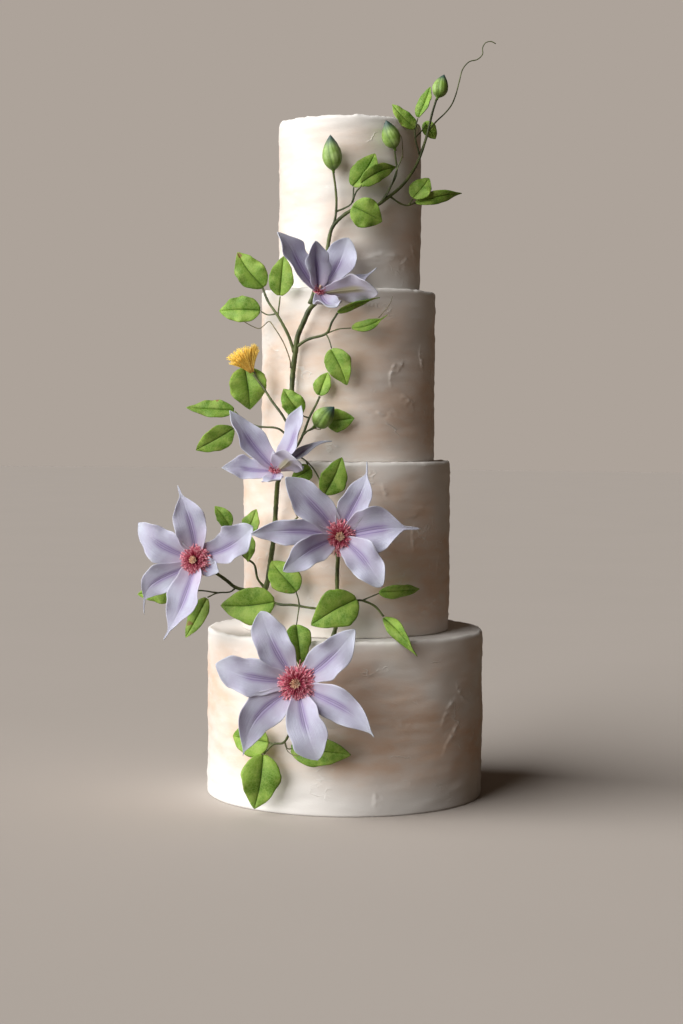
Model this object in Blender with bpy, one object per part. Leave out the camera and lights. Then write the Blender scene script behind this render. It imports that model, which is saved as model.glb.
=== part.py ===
"""Four-tier cake with buttercream sides and a climbing clematis vine made of sugar.

The frame has +Z up and its origin at the middle of the bottom tier's underside.
Places on the vine are written as (across, out, up) in millimetres: across is +X,
out is towards the front of the cake, -Y, and up is +Z.
"""

import math

import bmesh
import bpy
from mathutils import Matrix, Vector

MM = 0.001
GAP = 0.3  # clearance between pieces that touch, mm

# Tiers, from the bottom up, mm
TIER_RADII = (127.0, 95.0, 79.5, 65.0)
TIER_TOPS = (152.0, 307.0, 461.0, 614.0)
TIER_NAMES = ("bottom", "second", "third", "top")
TIER_SIDES = 32
RIM_ROUND = 3.0
RIM_LIP = 0.7
FLAT_TOP_INSET = 9.0
STILL_FOOT = 1.0  # height of a tier's underside that keeps its round outline
HAND_WOBBLE = 0.5

# Thin sugar pieces, mm
LEAF_THICK = 1.0
PETAL_THICK = 1.2
LEAF_CLEARANCE = 1.4  # from the end of its stalk
PETAL_SEAT = 2.5  # how far from the flower's axis a petal starts
LEAF_FOLD = 0.18  # rise of a leaf's sides, per half width
PETAL_FOLD = 0.22
FOLD_LIMIT = 0.3  # of a petal, so that it stays clear of the stamens
BLADE_CELLS = (2, 4)  # across and along a petal or leaf

# Flower hubs and stamens, mm
HUB_RADIUS = 4.5
HUB_FOOT_RADIUS = 2.6
HUB_DEPTH = 4.0
HUB_RISE = 1.0
HUB_SIDES = 8
FOOT_RUN = 5.0
FOOT_ROOM = 0.2
STAMEN_SEAT = 1.6
STAMEN_FOOT_RADIUS = 3.0
STAMEN_SIDES = 12
STAMEN_ROOM = 0.8

BUD_SIDES = 8
SEED_SIDES = 12

# Outline of a blade: rise and foot; see outline()
LEAF_RISE = (0.62, 0.015)
LEAF_POINT = 0.95
PETAL_RISE = (1.25, 0.13)

# Petals are (clock, lift, length, width, roll, arch, bow, late, point, body). Clock is the place
# round the face and lift the rise out of it, in degrees. Arch bows a petal out of its plane and
# bow bends it clockwise, per length; a late above 1 moves that bend towards the tip. Point is how
# drawn out the tip is, and past the body's share of the length is a thin tail. A sharply folded
# petal adds how far its sides rise, per half width.
FLOWERS = {
    "crown": {
        "centre": (-27, 90, 455),
        "face": (0.25, 0.5, 0.83),
        "boss": (4.3, 9.0),
        "petals": (
            (313, 45, 64, 27, -20, -0.08, 0.03, 1.0, 1.0, 1.0),
            (342, 58, 46, 25, 16, -0.04, 0.05, 1.0, 0.9, 1.0, 0.9),
            (46, 50, 58, 30, -5, -0.10, 0.05, 1.0, 0.8, 1.0),
            (90, 28, 57, 20, 35, -0.12, -0.05, 1.0, 1.2, 0.85),
            (127, 28, 54, 29, -74, -0.02, -0.06, 1.0, 0.8, 1.0, 0.1),
            (182, 20, 41, 24, 10, -0.14, 0.0, 1.0, 0.9, 1.0),
        ),
    },
    "middle": {
        "centre": (-62, 104, 299),
        "face": (-0.2, 0.5, 0.84),
        "boss": (4.5, 9.0),
        "petals": (
            (298, 50, 68, 28, 8, -0.07, -0.03, 1.0, 1.1, 1.0),
            (31, 50, 62, 29, -8, -0.07, 0.04, 1.0, 1.1, 1.0),
            (254, 20, 48, 22, -35, -0.10, 0.06, 1.0, 1.1, 1.0),
            (48, 15, 56, 13, 0, 0.06, 0.06, 1.0, 1.2, 1.0),
            (114, 42, 38, 31, -66, -0.03, 0.0, 1.0, 0.8, 1.0, 0.2),
            (172, 12, 26, 20, 0, -0.08, 0.0, 1.0, 1.0, 1.0),
        ),
    },
    "left": {
        "centre": (-132, 95, 220),
        "face": (-0.25, 0.95, 0.1),
        "boss": (13.0, 11.0),
        "petals": (
            (345, 12, 68, 31, 10, 0.05, 0.08, 0.9, 1.0, 0.86),
            (300, 10, 63, 32, 0, 0.06, -0.07, 1.0, 1.0, 1.0),
            (60, 10, 62, 30, 0, -0.06, 0.07, 1.3, 0.75, 1.0),
            (223, 5, 68, 27, -15, 0.12, 0.17, 1.6, 0.9, 0.82),
            (196, 14, 77, 33, 10, 0.06, -0.06, 1.0, 1.1, 0.88),
            (112, 8, 26, 17, 0, 0.05, 0.0, 1.0, 1.0, 1.0),
        ),
    },
    "right": {
        "centre": (-6, 124, 244),
        "face": (0.0, 1.0, 0.05),
        "boss": (14.5, 11.0),
        "petals": (
            (317, 12, 72, 29, 5, 0.07, 0.02, 1.0, 0.95, 1.0),
            (19, 10, 69, 27, -10, 0.08, 0.07, 2.0, 0.9, 0.84),
            (84, 10, 70, 42, 0, 0.10, -0.05, 1.2, 1.1, 0.82),
            (139, 20, 60, 31, 10, 0.12, -0.05, 1.0, 0.75, 1.0),
            (238, 20, 60, 26, -15, 0.10, 0.06, 1.0, 0.85, 1.0),
            (271, 5, 78, 24, -15, 0.08, 0.05, 1.0, 1.05, 1.0),
        ),
    },
    "lower": {
        "centre": (-41, 156, 120),
        "face": (-0.15, 0.96, 0.12),
        "boss": (16.5, 12.0),
        "petals": (
            (333, 12, 70, 32, 0, 0.05, -0.04, 1.0, 0.75, 1.0),
            (47, 10, 71, 30, 0, 0.04, 0.05, 1.0, 0.95, 1.0),
            (282, 10, 72, 32, 0, 0.08, -0.05, 1.4, 0.8, 1.0),
            (122, 5, 82, 30, 10, 0.08, -0.08, 1.5, 0.95, 0.94),
            (161, 15, 68, 33, 0, 0.08, 0.02, 1.0, 0.6, 1.0),
            (214, 7, 77, 31, -10, 0.10, 0.13, 1.2, 1.0, 0.94),
        ),
    },
}

# Leaves: base, tip, width, roll, twist and arch. A drawn-out leaf adds its bow and body.
LEAVES = {
    "crest": (
        ((57, 42, 607), (37, 44, 627), 15, 25, 0, 0.10),
        ((61, 42, 617), (71, 38, 643), 13, -35, 20, 0.12),
        ((68, 22, 614), (77, 18, 600), 13, 10, 0, 0.10),
        ((57, 50, 544), (71, 45, 562), 19, -15, 0, 0.08),
        ((60, 48, 539), (101, 30, 550), 12, 20, 110, 0.10),
    ),
    "top": (
        ((3, 76, 551), (22, 71, 580), 23, -12, 0, 0.08),
        ((10, 84, 552), (40, 70, 568), 16, 20, 30, 0.12),
        ((3, 83, 531), (28, 78, 519), 27, 8, 0, 0.14),
    ),
    "third": (
        ((-77, 56, 463), (-100, 50, 493), 26, 5, 0, 0.08),
        ((-61, 72, 455), (-58, 70, 489), 22, -5, 10, 0.06),
        ((-80, 62, 441), (-117, 50, 441), 24, 10, 0, 0.08),
        ((-9, 91, 439), (27, 89, 452), 8, 55, 60, 0.05, -0.03, 0.92),
        ((4, 89, 425), (34, 87, 437), 12, -20, 60, 0.08, 0.08, 0.8),
        ((-15, 91, 405), (-1, 91, 375), 23, 10, 10, 0.08),
        ((-25, 84, 367), (-18, 80, 386), 16, -15, 0, 0.06),
        ((-42, 88, 350), (-57, 84, 371), 20, 10, 0, 0.14),
        ((-18, 83, 344), (6, 86, 346), 20, 10, 0, 0.06),
        ((-93, 48, 389), (-88, 50, 353), 35, -5, 0, 0.14),
        ((-103, 60, 352), (-144, 55, 354), 17, 25, 20, 0.06),
        ((-103, 64, 335), (-136, 60, 316), 22, -15, -15, 0.10),
    ),
    "second": (
        ((-19, 104, 281), (-5, 108, 312), 24, 10, 0, 0.08),
        ((-33, 100, 301), (-49, 104, 292), 16, -10, 0, 0.08),
        ((-11, 104, 246), (-8, 103, 269), 18, 0, 0, 0.05),
        ((-104, 83, 250), (-117, 80, 267), 14, 15, 15, 0.08),
        ((-89, 79, 244), (-80, 80, 265), 16, -20, 0, 0.08),
        ((-87, 81, 241), (-87, 82, 218), 14, 20, 15, 0.08),
        ((-44, 104, 195), (-67, 90, 220), 27, 15, 10, 0.12),
        ((-64, 95, 184), (-111, 80, 179), 32, 5, 0, 0.08),
        ((8, 113, 188), (-30, 118, 166), 34, 0, 0, 0.10),
        ((30, 100, 194), (66, 88, 196), 15, 35, 20, 0.10),
        ((34, 106, 171), (62, 129, 141), 14, 20, 120, 0.12),
    ),
    "bottom": (
        ((-43, 119, 165), (-38, 139, 133), 22, -15, 0, 0.10),
        ((-149, 80, 190), (-185, 76, 188), 19, -5, 0, 0.10),
        ((-124, 79, 184), (-142, 77, 150), 17, 20, 0, 0.08),
        ((-67, 122, 64), (-101, 99, 65), 29, 0, 0, 0.06),
        ((-71, 121, 52), (-78, 122, 6), 34, 0, 0, 0.08),
        ((-45, 130, 60), (6, 138, 57), 27, 0, 10, 0.08),
    ),
}

# Buds: base, tip and thickness
BUDS = (
    ((-15, 75, 564), (-18, 76, 595), 17),
    ((39, 65, 585), (31, 70, 609), 16),
    ((78, 28, 636), (84, 26, 657), 14),
    ((-29, 93, 339), (-12, 98, 356), 18),
)

# Seed head: base, tip, spread and thickness
SEED_HEAD = ((-86, 58, 386), (-96, 60, 406), 15, 8)

# Stems of each spray: radius at the start, radius at the end, and the route.
# A flower's name as the last place means the foot of that flower.
SPRAYS = {
    "spray_left": (
        (3.0, 2.3, ((-80, 65, 154), (-82, 62, 166), (-76, 69, 183), (-70, 76, 200), (-67, 79, 221),
                    (-64, 83, 244), (-63, 86, 262), (-62, 92, 278), (-61, 99, 289), "middle")),
        (2.0, 1.6, ((-72, 73, 193), (-85, 77, 192), (-98, 78, 195), (-107, 80, 202),
                    (-118, 84, 210), (-126, 88, 216), "left")),
        (1.3, 0.9, ((-73, 73, 195), (-79, 74, 203), (-82, 72, 215), (-90, 72, 221),
                    (-96, 74, 229), (-98, 78, 239), (-104, 83, 249))),
        (0.9, 0.7, ((-96, 75, 230), (-92, 77, 238), (-89, 79, 243))),
        (1.5, 1.2, ((-74, 72, 188), (-66, 90, 184), (-57, 98, 182), (-46, 101, 182),
                    (-32, 104, 180), (-18, 105, 179))),
        (0.7, 0.6, ((-41, 102, 182), (-42, 107, 174), (-43, 118, 166))),
        (0.7, 0.6, ((-41, 102, 182), (-42, 104, 188), (-44, 104, 194))),
        (0.9, 0.7, ((-98, 78, 195), (-103, 79, 191), (-114, 79, 190), (-123, 79, 186))),
        (0.8, 0.7, ((-114, 79, 190), (-130, 79, 192), (-148, 80, 190))),
        (1.0, 0.8, ((-64, 83, 236), (-59, 87, 243), (-53, 91, 250), (-43, 98, 259))),
    ),
    "spray_right": (
        (2.3, 2.1, ((-11, 106, 154), (-8, 104, 170), (-8, 104, 197), (-8, 107, 214),
                    (-7, 114, 231), "right")),
        (1.4, 1.1, ((-8, 104, 184), (0, 108, 187), (8, 109, 187), (14, 106, 187), (25, 104, 182),
                    (33, 105, 173))),
        (0.8, 0.6, ((14, 106, 187), (21, 104, 190), (29, 100, 193))),
        (0.8, 0.6, ((-8, 109, 220), (-10, 105, 232), (-11, 104, 245))),
    ),
    "spray_top": (
        (2.8, 2.6, ((-51, 71, 309), (-52, 73, 322), (-51, 73, 335), (-51, 72, 353), (-50, 71, 371),
                    (-49, 72, 388), (-47, 74, 404), (-45, 76, 418), (-40, 79, 430),
                    (-35, 81, 441), "crown")),
        (2.3, 1.2, ((-34, 83, 446), (-29, 80, 462), (-24, 74, 475), (-20, 71, 488), (-19, 70, 499),
                    (-16, 71, 513), (-9, 72, 522), (1, 73, 529), (11, 72, 531), (23, 69, 534),
                    (35, 64, 543), (44, 58, 551), (52, 52, 561), (60, 43, 575), (66, 37, 592),
                    (70, 33, 606), (73, 30, 620), (77, 28, 634))),
        (0.8, 0.5, ((70, 33, 605), (77, 30, 614), (85, 27, 622), (91, 24, 630), (95, 22, 640),
                    (98, 20, 652), (101, 19, 663), (107, 18, 670), (114, 17, 672), (119, 16, 677),
                    (119, 15, 683), (122, 14, 688), (127, 14, 689), (131, 14, 687))),
        (1.3, 1.1, ((-16, 71, 513), (-13, 72, 522), (-12, 73, 535), (-13, 74, 549), (-15, 75, 562))),
        (1.0, 0.8, ((-13, 72, 528), (-5, 74, 531), (2, 77, 536), (3, 76, 549))),
        (0.9, 0.8, ((2, 77, 536), (5, 81, 544), (10, 84, 550))),
        (0.8, 0.7, ((1, 73, 529), (2, 78, 530), (3, 82, 531))),
        (1.0, 0.9, ((27, 68, 536), (35, 65, 550), (41, 62, 564), (39, 65, 583))),
        (0.8, 0.6, ((30, 67, 540), (36, 68, 551), (41, 66, 566), (46, 63, 578))),
        (0.9, 0.7, ((62, 40, 583), (58, 42, 597), (58, 42, 606), (60, 42, 615))),
        (0.7, 0.6, ((58, 42, 598), (63, 33, 604), (68, 23, 612))),
        (0.9, 0.8, ((35, 64, 543), (45, 59, 537), (52, 55, 536), (58, 49, 539))),
        (0.7, 0.6, ((52, 55, 536), (56, 51, 542))),
        (1.7, 1.2, ((-48, 74, 404), (-54, 73, 420), (-63, 70, 436), (-72, 62, 449),
                    (-77, 57, 461))),
        (0.8, 0.7, ((-63, 70, 436), (-62, 72, 444), (-61, 72, 453))),
        (0.8, 0.7, ((-64, 69, 438), (-72, 65, 437), (-78, 63, 440))),
        (1.6, 1.1, ((-47, 74, 408), (-36, 81, 415), (-20, 86, 420), (-15, 88, 430), (-10, 90, 438))),
        (0.7, 0.6, ((-20, 86, 420), (-9, 88, 424), (2, 89, 425))),
        (0.7, 0.6, ((-20, 86, 420), (-17, 89, 414), (-15, 91, 407))),
        (1.6, 1.1, ((-51, 73, 318), (-45, 79, 321), (-40, 84, 330), (-34, 86, 346),
                    (-28, 85, 358), (-25, 84, 365))),
        (0.9, 0.8, ((-40, 84, 330), (-36, 88, 334), (-30, 92, 338))),
        (0.7, 0.6, ((-34, 86, 346), (-38, 87, 347), (-41, 88, 349))),
        (0.7, 0.6, ((-39, 85, 333), (-29, 83, 337), (-20, 83, 343))),
        (1.4, 1.2, ((-51, 73, 335), (-58, 74, 348), (-68, 68, 361), (-76, 62, 373), (-85, 58, 384))),
        (0.9, 0.7, ((-80, 60, 378), (-84, 54, 386), (-89, 49, 392), (-93, 47, 391))),
        (1.2, 0.8, ((-51, 73, 326), (-58, 76, 334), (-65, 74, 337), (-80, 70, 338),
                    (-92, 65, 343), (-101, 61, 351))),
        (0.8, 0.7, ((-90, 66, 342), (-102, 64, 336))),
        (0.9, 0.7, ((-51, 73, 318), (-44, 88, 313), (-36, 97, 308), (-28, 101, 299),
                    (-20, 103, 283))),
        (0.7, 0.6, ((-36, 97, 308), (-34, 99, 303))),
    ),
    "spray_low": (
        (2.1, 1.8, ((3, 110, 155), (3, 121, 158), (1, 131, 158), (-4, 139, 153), (-14, 146, 141),
                    (-26, 149, 127), "lower")),
        (1.5, 1.1, ((-37, 148, 119), (-42, 146, 106), (-44, 138, 86), (-52, 129, 66),
                    (-62, 125, 63), (-70, 121, 54))),
        (0.8, 0.7, ((-52, 129, 66), (-50, 129, 60), (-46, 130, 60))),
        (0.8, 0.7, ((-62, 125, 63), (-66, 122, 64))),
    ),
}
STEM_STEP = 18.0  # distance between rings of a stem, mm
THIN_STEM = 1.6  # a stem no thicker than this has four sides, mm

# Colour, roughness
COLOURS = {
    "buttercream": ((0.83, 0.77, 0.69), 0.6),
    "petal": ((0.66, 0.63, 0.78), 0.55),
    "stamen": ((0.62, 0.20, 0.28), 0.6),
    "leaf": ((0.20, 0.34, 0.06), 0.55),
    "stem": ((0.10, 0.15, 0.04), 0.6),
    "seed": ((0.75, 0.45, 0.06), 0.7),
}


def place(spot):
    """World position of an (across, out, up) spot in millimetres."""
    across, out, up = spot
    return Vector((across, -out, up)) * MM


def clear_scene():
    for thing in list(bpy.data.objects):
        bpy.data.objects.remove(thing, do_unlink=True)


def make_material(name):
    colour, roughness = COLOURS[name]
    material = bpy.data.materials.new(name)
    material.use_nodes = True
    shader = material.node_tree.nodes["Principled BSDF"]
    shader.inputs["Base Color"].default_value = (*colour, 1.0)
    shader.inputs["Roughness"].default_value = roughness
    return material


def add_object(name, mesh, material):
    """Object with its own copy of a material, in the scene."""
    thing = bpy.data.objects.new(name, mesh)
    if material:
        mesh.materials.append(make_material(material))
    bpy.context.scene.collection.objects.link(thing)
    return thing


def mesh_from(bm, name, smooth=True):
    bmesh.ops.recalc_face_normals(bm, faces=bm.faces)
    mesh = bpy.data.meshes.new(name)
    bm.to_mesh(mesh)
    bm.free()
    if smooth:
        mesh.shade_smooth()
        mesh.set_sharp_from_angle(angle=math.radians(50))
    return mesh


def frame_along(direction, sideways):
    """Matrix whose Z runs along direction and whose X is as near sideways as it can be."""
    up = direction.normalized()
    across = (sideways - up * sideways.dot(up)).normalized()
    return Matrix((across, up.cross(across), up)).transposed()


def turned(profile, steps):
    """Closed solid turned about Z from (radius, height) points that start and end on the axis."""
    bm = bmesh.new()
    ring = [bm.verts.new((radius, 0.0, height)) for radius, height in profile]
    edges = [bm.edges.new(pair) for pair in zip(ring, ring[1:])]
    bmesh.ops.spin(bm, geom=ring + edges, cent=(0, 0, 0), axis=(0, 0, 1), dvec=(0, 0, 0),
                   angle=math.tau, steps=steps, use_merge=True)
    bmesh.ops.remove_doubles(bm, verts=bm.verts, dist=1e-7)
    return bm


# Tiers


def wobble(angle, height, tier):
    """Hand-spread unevenness of a tier's side, in millimetres."""
    slow = math.sin(3 * angle + 1.7 * tier + 0.03 * height)
    quick = math.sin(7 * angle - 0.9 * tier - 0.05 * height)
    return HAND_WOBBLE * (0.7 * slow + 0.3 * quick)


def make_tier(number):
    radius = TIER_RADII[number]
    top = TIER_TOPS[number]
    base = TIER_TOPS[number - 1] + GAP if number else 0.0
    third = (top - base) / 3
    profile = (
        (0, base),
        (radius - 1.0, base),
        (radius, base + 2.5),
        (radius, base + third),
        (radius, base + 2 * third),
        (radius, top - RIM_ROUND),
        (radius - RIM_ROUND / 2, top + RIM_LIP),
        (radius - FLAT_TOP_INSET, top),
        (0, top),
    )
    bm = turned([(r * MM, z * MM) for r, z in profile], TIER_SIDES)
    flat_radius = (radius - FLAT_TOP_INSET + GAP) * MM
    for vert in bm.verts:
        reach = math.hypot(vert.co.x, vert.co.y)
        if reach < flat_radius or vert.co.z < (base + STILL_FOOT) * MM:
            continue
        angle = math.atan2(vert.co.y, vert.co.x)
        push = wobble(angle, vert.co.z / MM, number) * MM
        vert.co.x += push * math.cos(angle)
        vert.co.y += push * math.sin(angle)
        if vert.co.z > (top + RIM_LIP / 2) * MM:
            vert.co.z += wobble(2 * angle, 0, number + 5) * MM
    name = f"tier_{TIER_NAMES[number]}"
    add_object(name, mesh_from(bm, name), "buttercream")


# Leaves and petals


def outline(along, rising, fall, body):
    """Half width of a blade, 0 to 1, at a share of its length: rise near the base, fall to the tip."""
    rise, foot = rising
    share = min(1.0, along / body)
    widest = (rise - fall * foot) / (rise + fall)
    most = (widest + foot) ** rise * (1 - widest) ** fall
    return (share + foot) ** rise * (1 - share) ** fall / most


def blade(name, ends, facing, half_width, turn, bend, fold):
    """Open sheet between two ends, which solidify() gives its thickness.

    half_width(along) is in metres, turn is roll and twist, and bend is arch, bow and late.
    """
    base, tip = ends
    roll, twist = turn
    arch, bow, late = bend
    axis = tip - base
    length = axis.length
    axis.normalize()
    normal = (facing - axis * facing.dot(axis)).normalized()
    across_cells, along_cells = BLADE_CELLS
    bm = bmesh.new()
    bmesh.ops.create_grid(bm, x_segments=across_cells, y_segments=along_cells, size=1.0)
    for vert in bm.verts:
        side = vert.co.x
        along = (vert.co.y + 1) / 2
        up = Matrix.Rotation(math.radians(roll + twist * (along - 0.5)), 3, axis) @ normal
        half = half_width(along)
        spot = base + axis * length * along
        spot += normal * arch * length * math.sin(math.pi * along)
        spot += axis.cross(normal) * bow * length * math.sin(math.pi * along ** late)
        vert.co = spot + axis.cross(up) * side * half + up * abs(side) * half * fold
    bmesh.ops.remove_doubles(bm, verts=bm.verts, dist=1e-6)
    return mesh_from(bm, name)


def solidify(thing, thickness):
    wall = thing.modifiers.new("thickness", "SOLIDIFY")
    wall.thickness = thickness * MM
    wall.offset = 0.0


def make_leaf(name, leaf):
    base, tip, width, roll, twist, arch, *drawn = leaf
    bow, body = drawn or (0.0, 1.0)
    start = place(base)
    end = place(tip)
    start += (end - start).normalized() * LEAF_CLEARANCE * MM
    mesh = blade(name, (start, end), place((0, 1, 0)),
                 lambda along: width / 2 * MM * outline(along, LEAF_RISE, LEAF_POINT, body),
                 (roll, twist), (arch, bow, 1.0), LEAF_FOLD)
    solidify(add_object(name, mesh, "leaf"), LEAF_THICK)


def flower_frame(flower):
    """Centre, facing direction, and the twelve o'clock and three o'clock directions."""
    centre = place(flower["centre"])
    face = place(flower["face"]).normalized()
    twelve = (Vector((0, 0, 1)) - face * face.z).normalized()
    return centre, face, twelve, twelve.cross(face)


def flower_foot(flower):
    """The stem's last places: straight up to the underside of the flower's hub."""
    centre, face, _, _ = flower_frame(flower)
    return [centre - face * (HUB_DEPTH + GAP + away) * MM for away in (FOOT_RUN, FOOT_ROOM)]


def boss_profile(radius, height, grow):
    """Goblet of stamens on the flower's face, in millimetres."""
    return (
        (0, STAMEN_SEAT - grow),
        (min(STAMEN_FOOT_RADIUS, radius * 0.6) + grow, STAMEN_SEAT - grow),
        (radius * 0.55 + grow, height * 0.5),
        (radius + grow, height * 0.8),
        (radius * 0.7 + grow, height + grow),
        (0, height * 0.9 + grow),
    )


def boss_mesh(flower, name, grow=0.0):
    centre, face, twelve, _ = flower_frame(flower)
    radius, height = flower["boss"]
    profile = boss_profile(radius, height, grow)
    bm = turned([(r * MM, z * MM) for r, z in profile], STAMEN_SIDES)
    frame = Matrix.Translation(centre) @ frame_along(face, twelve).to_4x4()
    bmesh.ops.transform(bm, matrix=frame, verts=bm.verts)
    return mesh_from(bm, name)


def hub_mesh(flower, name):
    """Small cup that the petals and the stem meet on."""
    centre, face, twelve, _ = flower_frame(flower)
    bm = bmesh.new()
    bmesh.ops.create_cone(bm, cap_ends=True, segments=HUB_SIDES, radius1=HUB_FOOT_RADIUS * MM,
                          radius2=HUB_RADIUS * MM, depth=(HUB_DEPTH + HUB_RISE) * MM)
    middle = centre + face * (HUB_RISE - HUB_DEPTH) / 2 * MM
    frame = Matrix.Translation(middle) @ frame_along(face, twelve).to_4x4()
    bmesh.ops.transform(bm, matrix=frame, verts=bm.verts)
    return mesh_from(bm, name)


def cutter_collection(name):
    group = bpy.data.collections.new(name)
    bpy.context.scene.collection.children.link(group)
    return group


def make_cutter(thing, group):
    """Guide object that only feeds a Boolean."""
    thing.hide_render = True
    thing.display_type = "WIRE"
    bpy.context.scene.collection.objects.unlink(thing)
    group.objects.link(thing)


def boolean(thing, operation, group):
    step = thing.modifiers.new(operation.lower(), "BOOLEAN")
    step.operation = operation
    step.solver = "EXACT"
    step.use_self = True
    step.operand_type = "COLLECTION"
    step.collection = group


def petal_mesh(name, flower, petal):
    centre, face, twelve, three = flower_frame(flower)
    clock, lift, length, width, roll, arch, bow, late, point, body, *folded = petal
    turn = math.radians(clock)
    rise = math.radians(lift)
    outward = twelve * math.cos(turn) + three * math.sin(turn)
    direction = outward * math.cos(rise) + face * math.sin(rise)
    inward = face * math.cos(rise) - outward * math.sin(rise)
    ends = (centre + direction * PETAL_SEAT * MM, centre + direction * length * MM)
    return blade(name, ends, inward,
                 lambda along: width / 2 * MM * outline(along, PETAL_RISE, point, body),
                 (roll, 0), (arch, bow, late), min(FOLD_LIMIT, *folded) if folded else PETAL_FOLD)


def make_flower(name, flower):
    petals = cutter_collection(f"petals_of_{name}")
    for number, petal in enumerate(flower["petals"], 1):
        petal_name = f"{name}_petal_{number}"
        blank = add_object(petal_name, petal_mesh(petal_name, flower, petal), None)
        solidify(blank, PETAL_THICK)
        make_cutter(blank, petals)
    clearance = cutter_collection(f"stamen_room_of_{name}")
    room = add_object(f"{name}_stamen_room", boss_mesh(flower, f"{name}_room", STAMEN_ROOM), None)
    make_cutter(room, clearance)
    hub = add_object(f"petals_{name}", hub_mesh(flower, f"petals_{name}"), "petal")
    boolean(hub, "UNION", petals)
    boolean(hub, "DIFFERENCE", clearance)
    add_object(f"stamens_{name}", boss_mesh(flower, f"stamens_{name}"), "stamen")


# Buds and the seed head


def oriented(profile, steps, name, base, tip, squash):
    """Turned solid with its foot at base, its axis towards tip and its depth squashed."""
    start = place(base)
    axis = place(tip) - start
    bm = turned([(r * MM, z * axis.length) for r, z in profile], steps)
    frame = Matrix.Translation(start) @ frame_along(axis, Vector((1, 0, 0))).to_4x4()
    frame = frame @ Matrix.Diagonal((1.0, squash, 1.0, 1.0))
    bmesh.ops.transform(bm, matrix=frame, verts=bm.verts)
    return mesh_from(bm, name)


def make_bud(number, base, tip, thickness):
    widest = thickness / 2
    profile = ((0, 0.0), (0.35 * widest, 0.02), (0.88 * widest, 0.2), (widest, 0.38),
               (0.78 * widest, 0.62), (0.3 * widest, 0.86), (0, 1.0))
    name = f"bud_{number}"
    add_object(name, oriented(profile, BUD_SIDES, name, base, tip, 1.0), "leaf")


def make_seed_head():
    base, tip, spread, thick = SEED_HEAD
    profile = ((0, 0.0), (0.12 * spread, 0.0), (0.62 * spread, 0.5), (spread, 0.86),
               (0.75 * spread, 1.02), (0, 1.1))
    mesh = oriented(profile, SEED_SIDES, "seed_head", base, tip, thick / spread)
    add_object("seed_head", mesh, "seed")


# Stems


def smooth_route(spots, step):
    """Points about one step apart on a Catmull-Rom curve through the spots."""
    points = [spots[0] * 2 - spots[1], *spots, spots[-1] * 2 - spots[-2]]
    route = [spots[0]]
    for a, b, c, d in zip(points, points[1:], points[2:], points[3:]):
        count = max(1, round((c - b).length / step))
        for part in range(1, count + 1):
            t = part / count
            bend = (2 * a - 5 * b + 4 * c - d) * t * t + (3 * b - a - 3 * c + d) * t ** 3
            route.append((2 * b + (c - a) * t + bend) / 2)
    return route


def make_stem(name, start_radius, end_radius, spots):
    """Tapered tube along a smooth route, as a mesh object."""
    route = smooth_route(spots, STEM_STEP * MM)
    curve = bpy.data.curves.new(name, "CURVE")
    curve.dimensions = "3D"
    curve.bevel_depth = MM
    curve.bevel_resolution = 1 if start_radius > THIN_STEM else 0
    curve.use_fill_caps = True
    spline = curve.splines.new("POLY")
    spline.points.add(len(route) - 1)
    for number, (point, spot) in enumerate(zip(spline.points, route)):
        share = number / (len(route) - 1)
        point.co = (*spot, 1.0)
        point.radius = start_radius + (end_radius - start_radius) * share
    tube = bpy.data.objects.new(f"{name}_path", curve)
    mesh = bpy.data.meshes.new_from_object(tube)
    bpy.data.objects.remove(tube)
    bm = bmesh.new()
    bm.from_mesh(mesh)
    bmesh.ops.remove_doubles(bm, verts=bm.verts, dist=1e-7)
    return mesh_from(bm, name)


def make_spray(name, stems):
    branches = cutter_collection(f"branches_of_{name}")
    trunk = None
    for number, (start_radius, end_radius, places) in enumerate(stems, 1):
        spots = []
        for spot in places:
            spots += flower_foot(FLOWERS[spot]) if isinstance(spot, str) else [place(spot)]
        stem_name = f"{name}_stem_{number}" if trunk else name
        mesh = make_stem(stem_name, start_radius, end_radius, spots)
        stem = add_object(stem_name, mesh, None if trunk else "stem")
        if trunk:
            make_cutter(stem, branches)
        else:
            trunk = stem
    boolean(trunk, "UNION", branches)


def main():
    clear_scene()
    for number in range(len(TIER_RADII)):
        make_tier(number)
    for name, flower in FLOWERS.items():
        make_flower(name, flower)
    for group, leaves in LEAVES.items():
        for number, leaf in enumerate(leaves, 1):
            make_leaf(f"leaf_{group}_{number}", leaf)
    for number, bud in enumerate(BUDS, 1):
        make_bud(number, *bud)
    make_seed_head()
    for name, stems in SPRAYS.items():
        make_spray(name, stems)


main()
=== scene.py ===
"""Finished looks of a four-tier buttercream cake with a climbing sugar clematis.

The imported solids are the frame. Each tier, flower, leaf, bud and spray gets a fine piece in
the place of its solid. Places on the vine are (across, out, up) in millimetres: across is +X,
out is towards the front of the cake, -Y, and up is +Z.
"""

import math
import random
from dataclasses import dataclass

import bmesh
import bpy
import numpy as np
from mathutils import Matrix, Vector, noise


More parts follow.
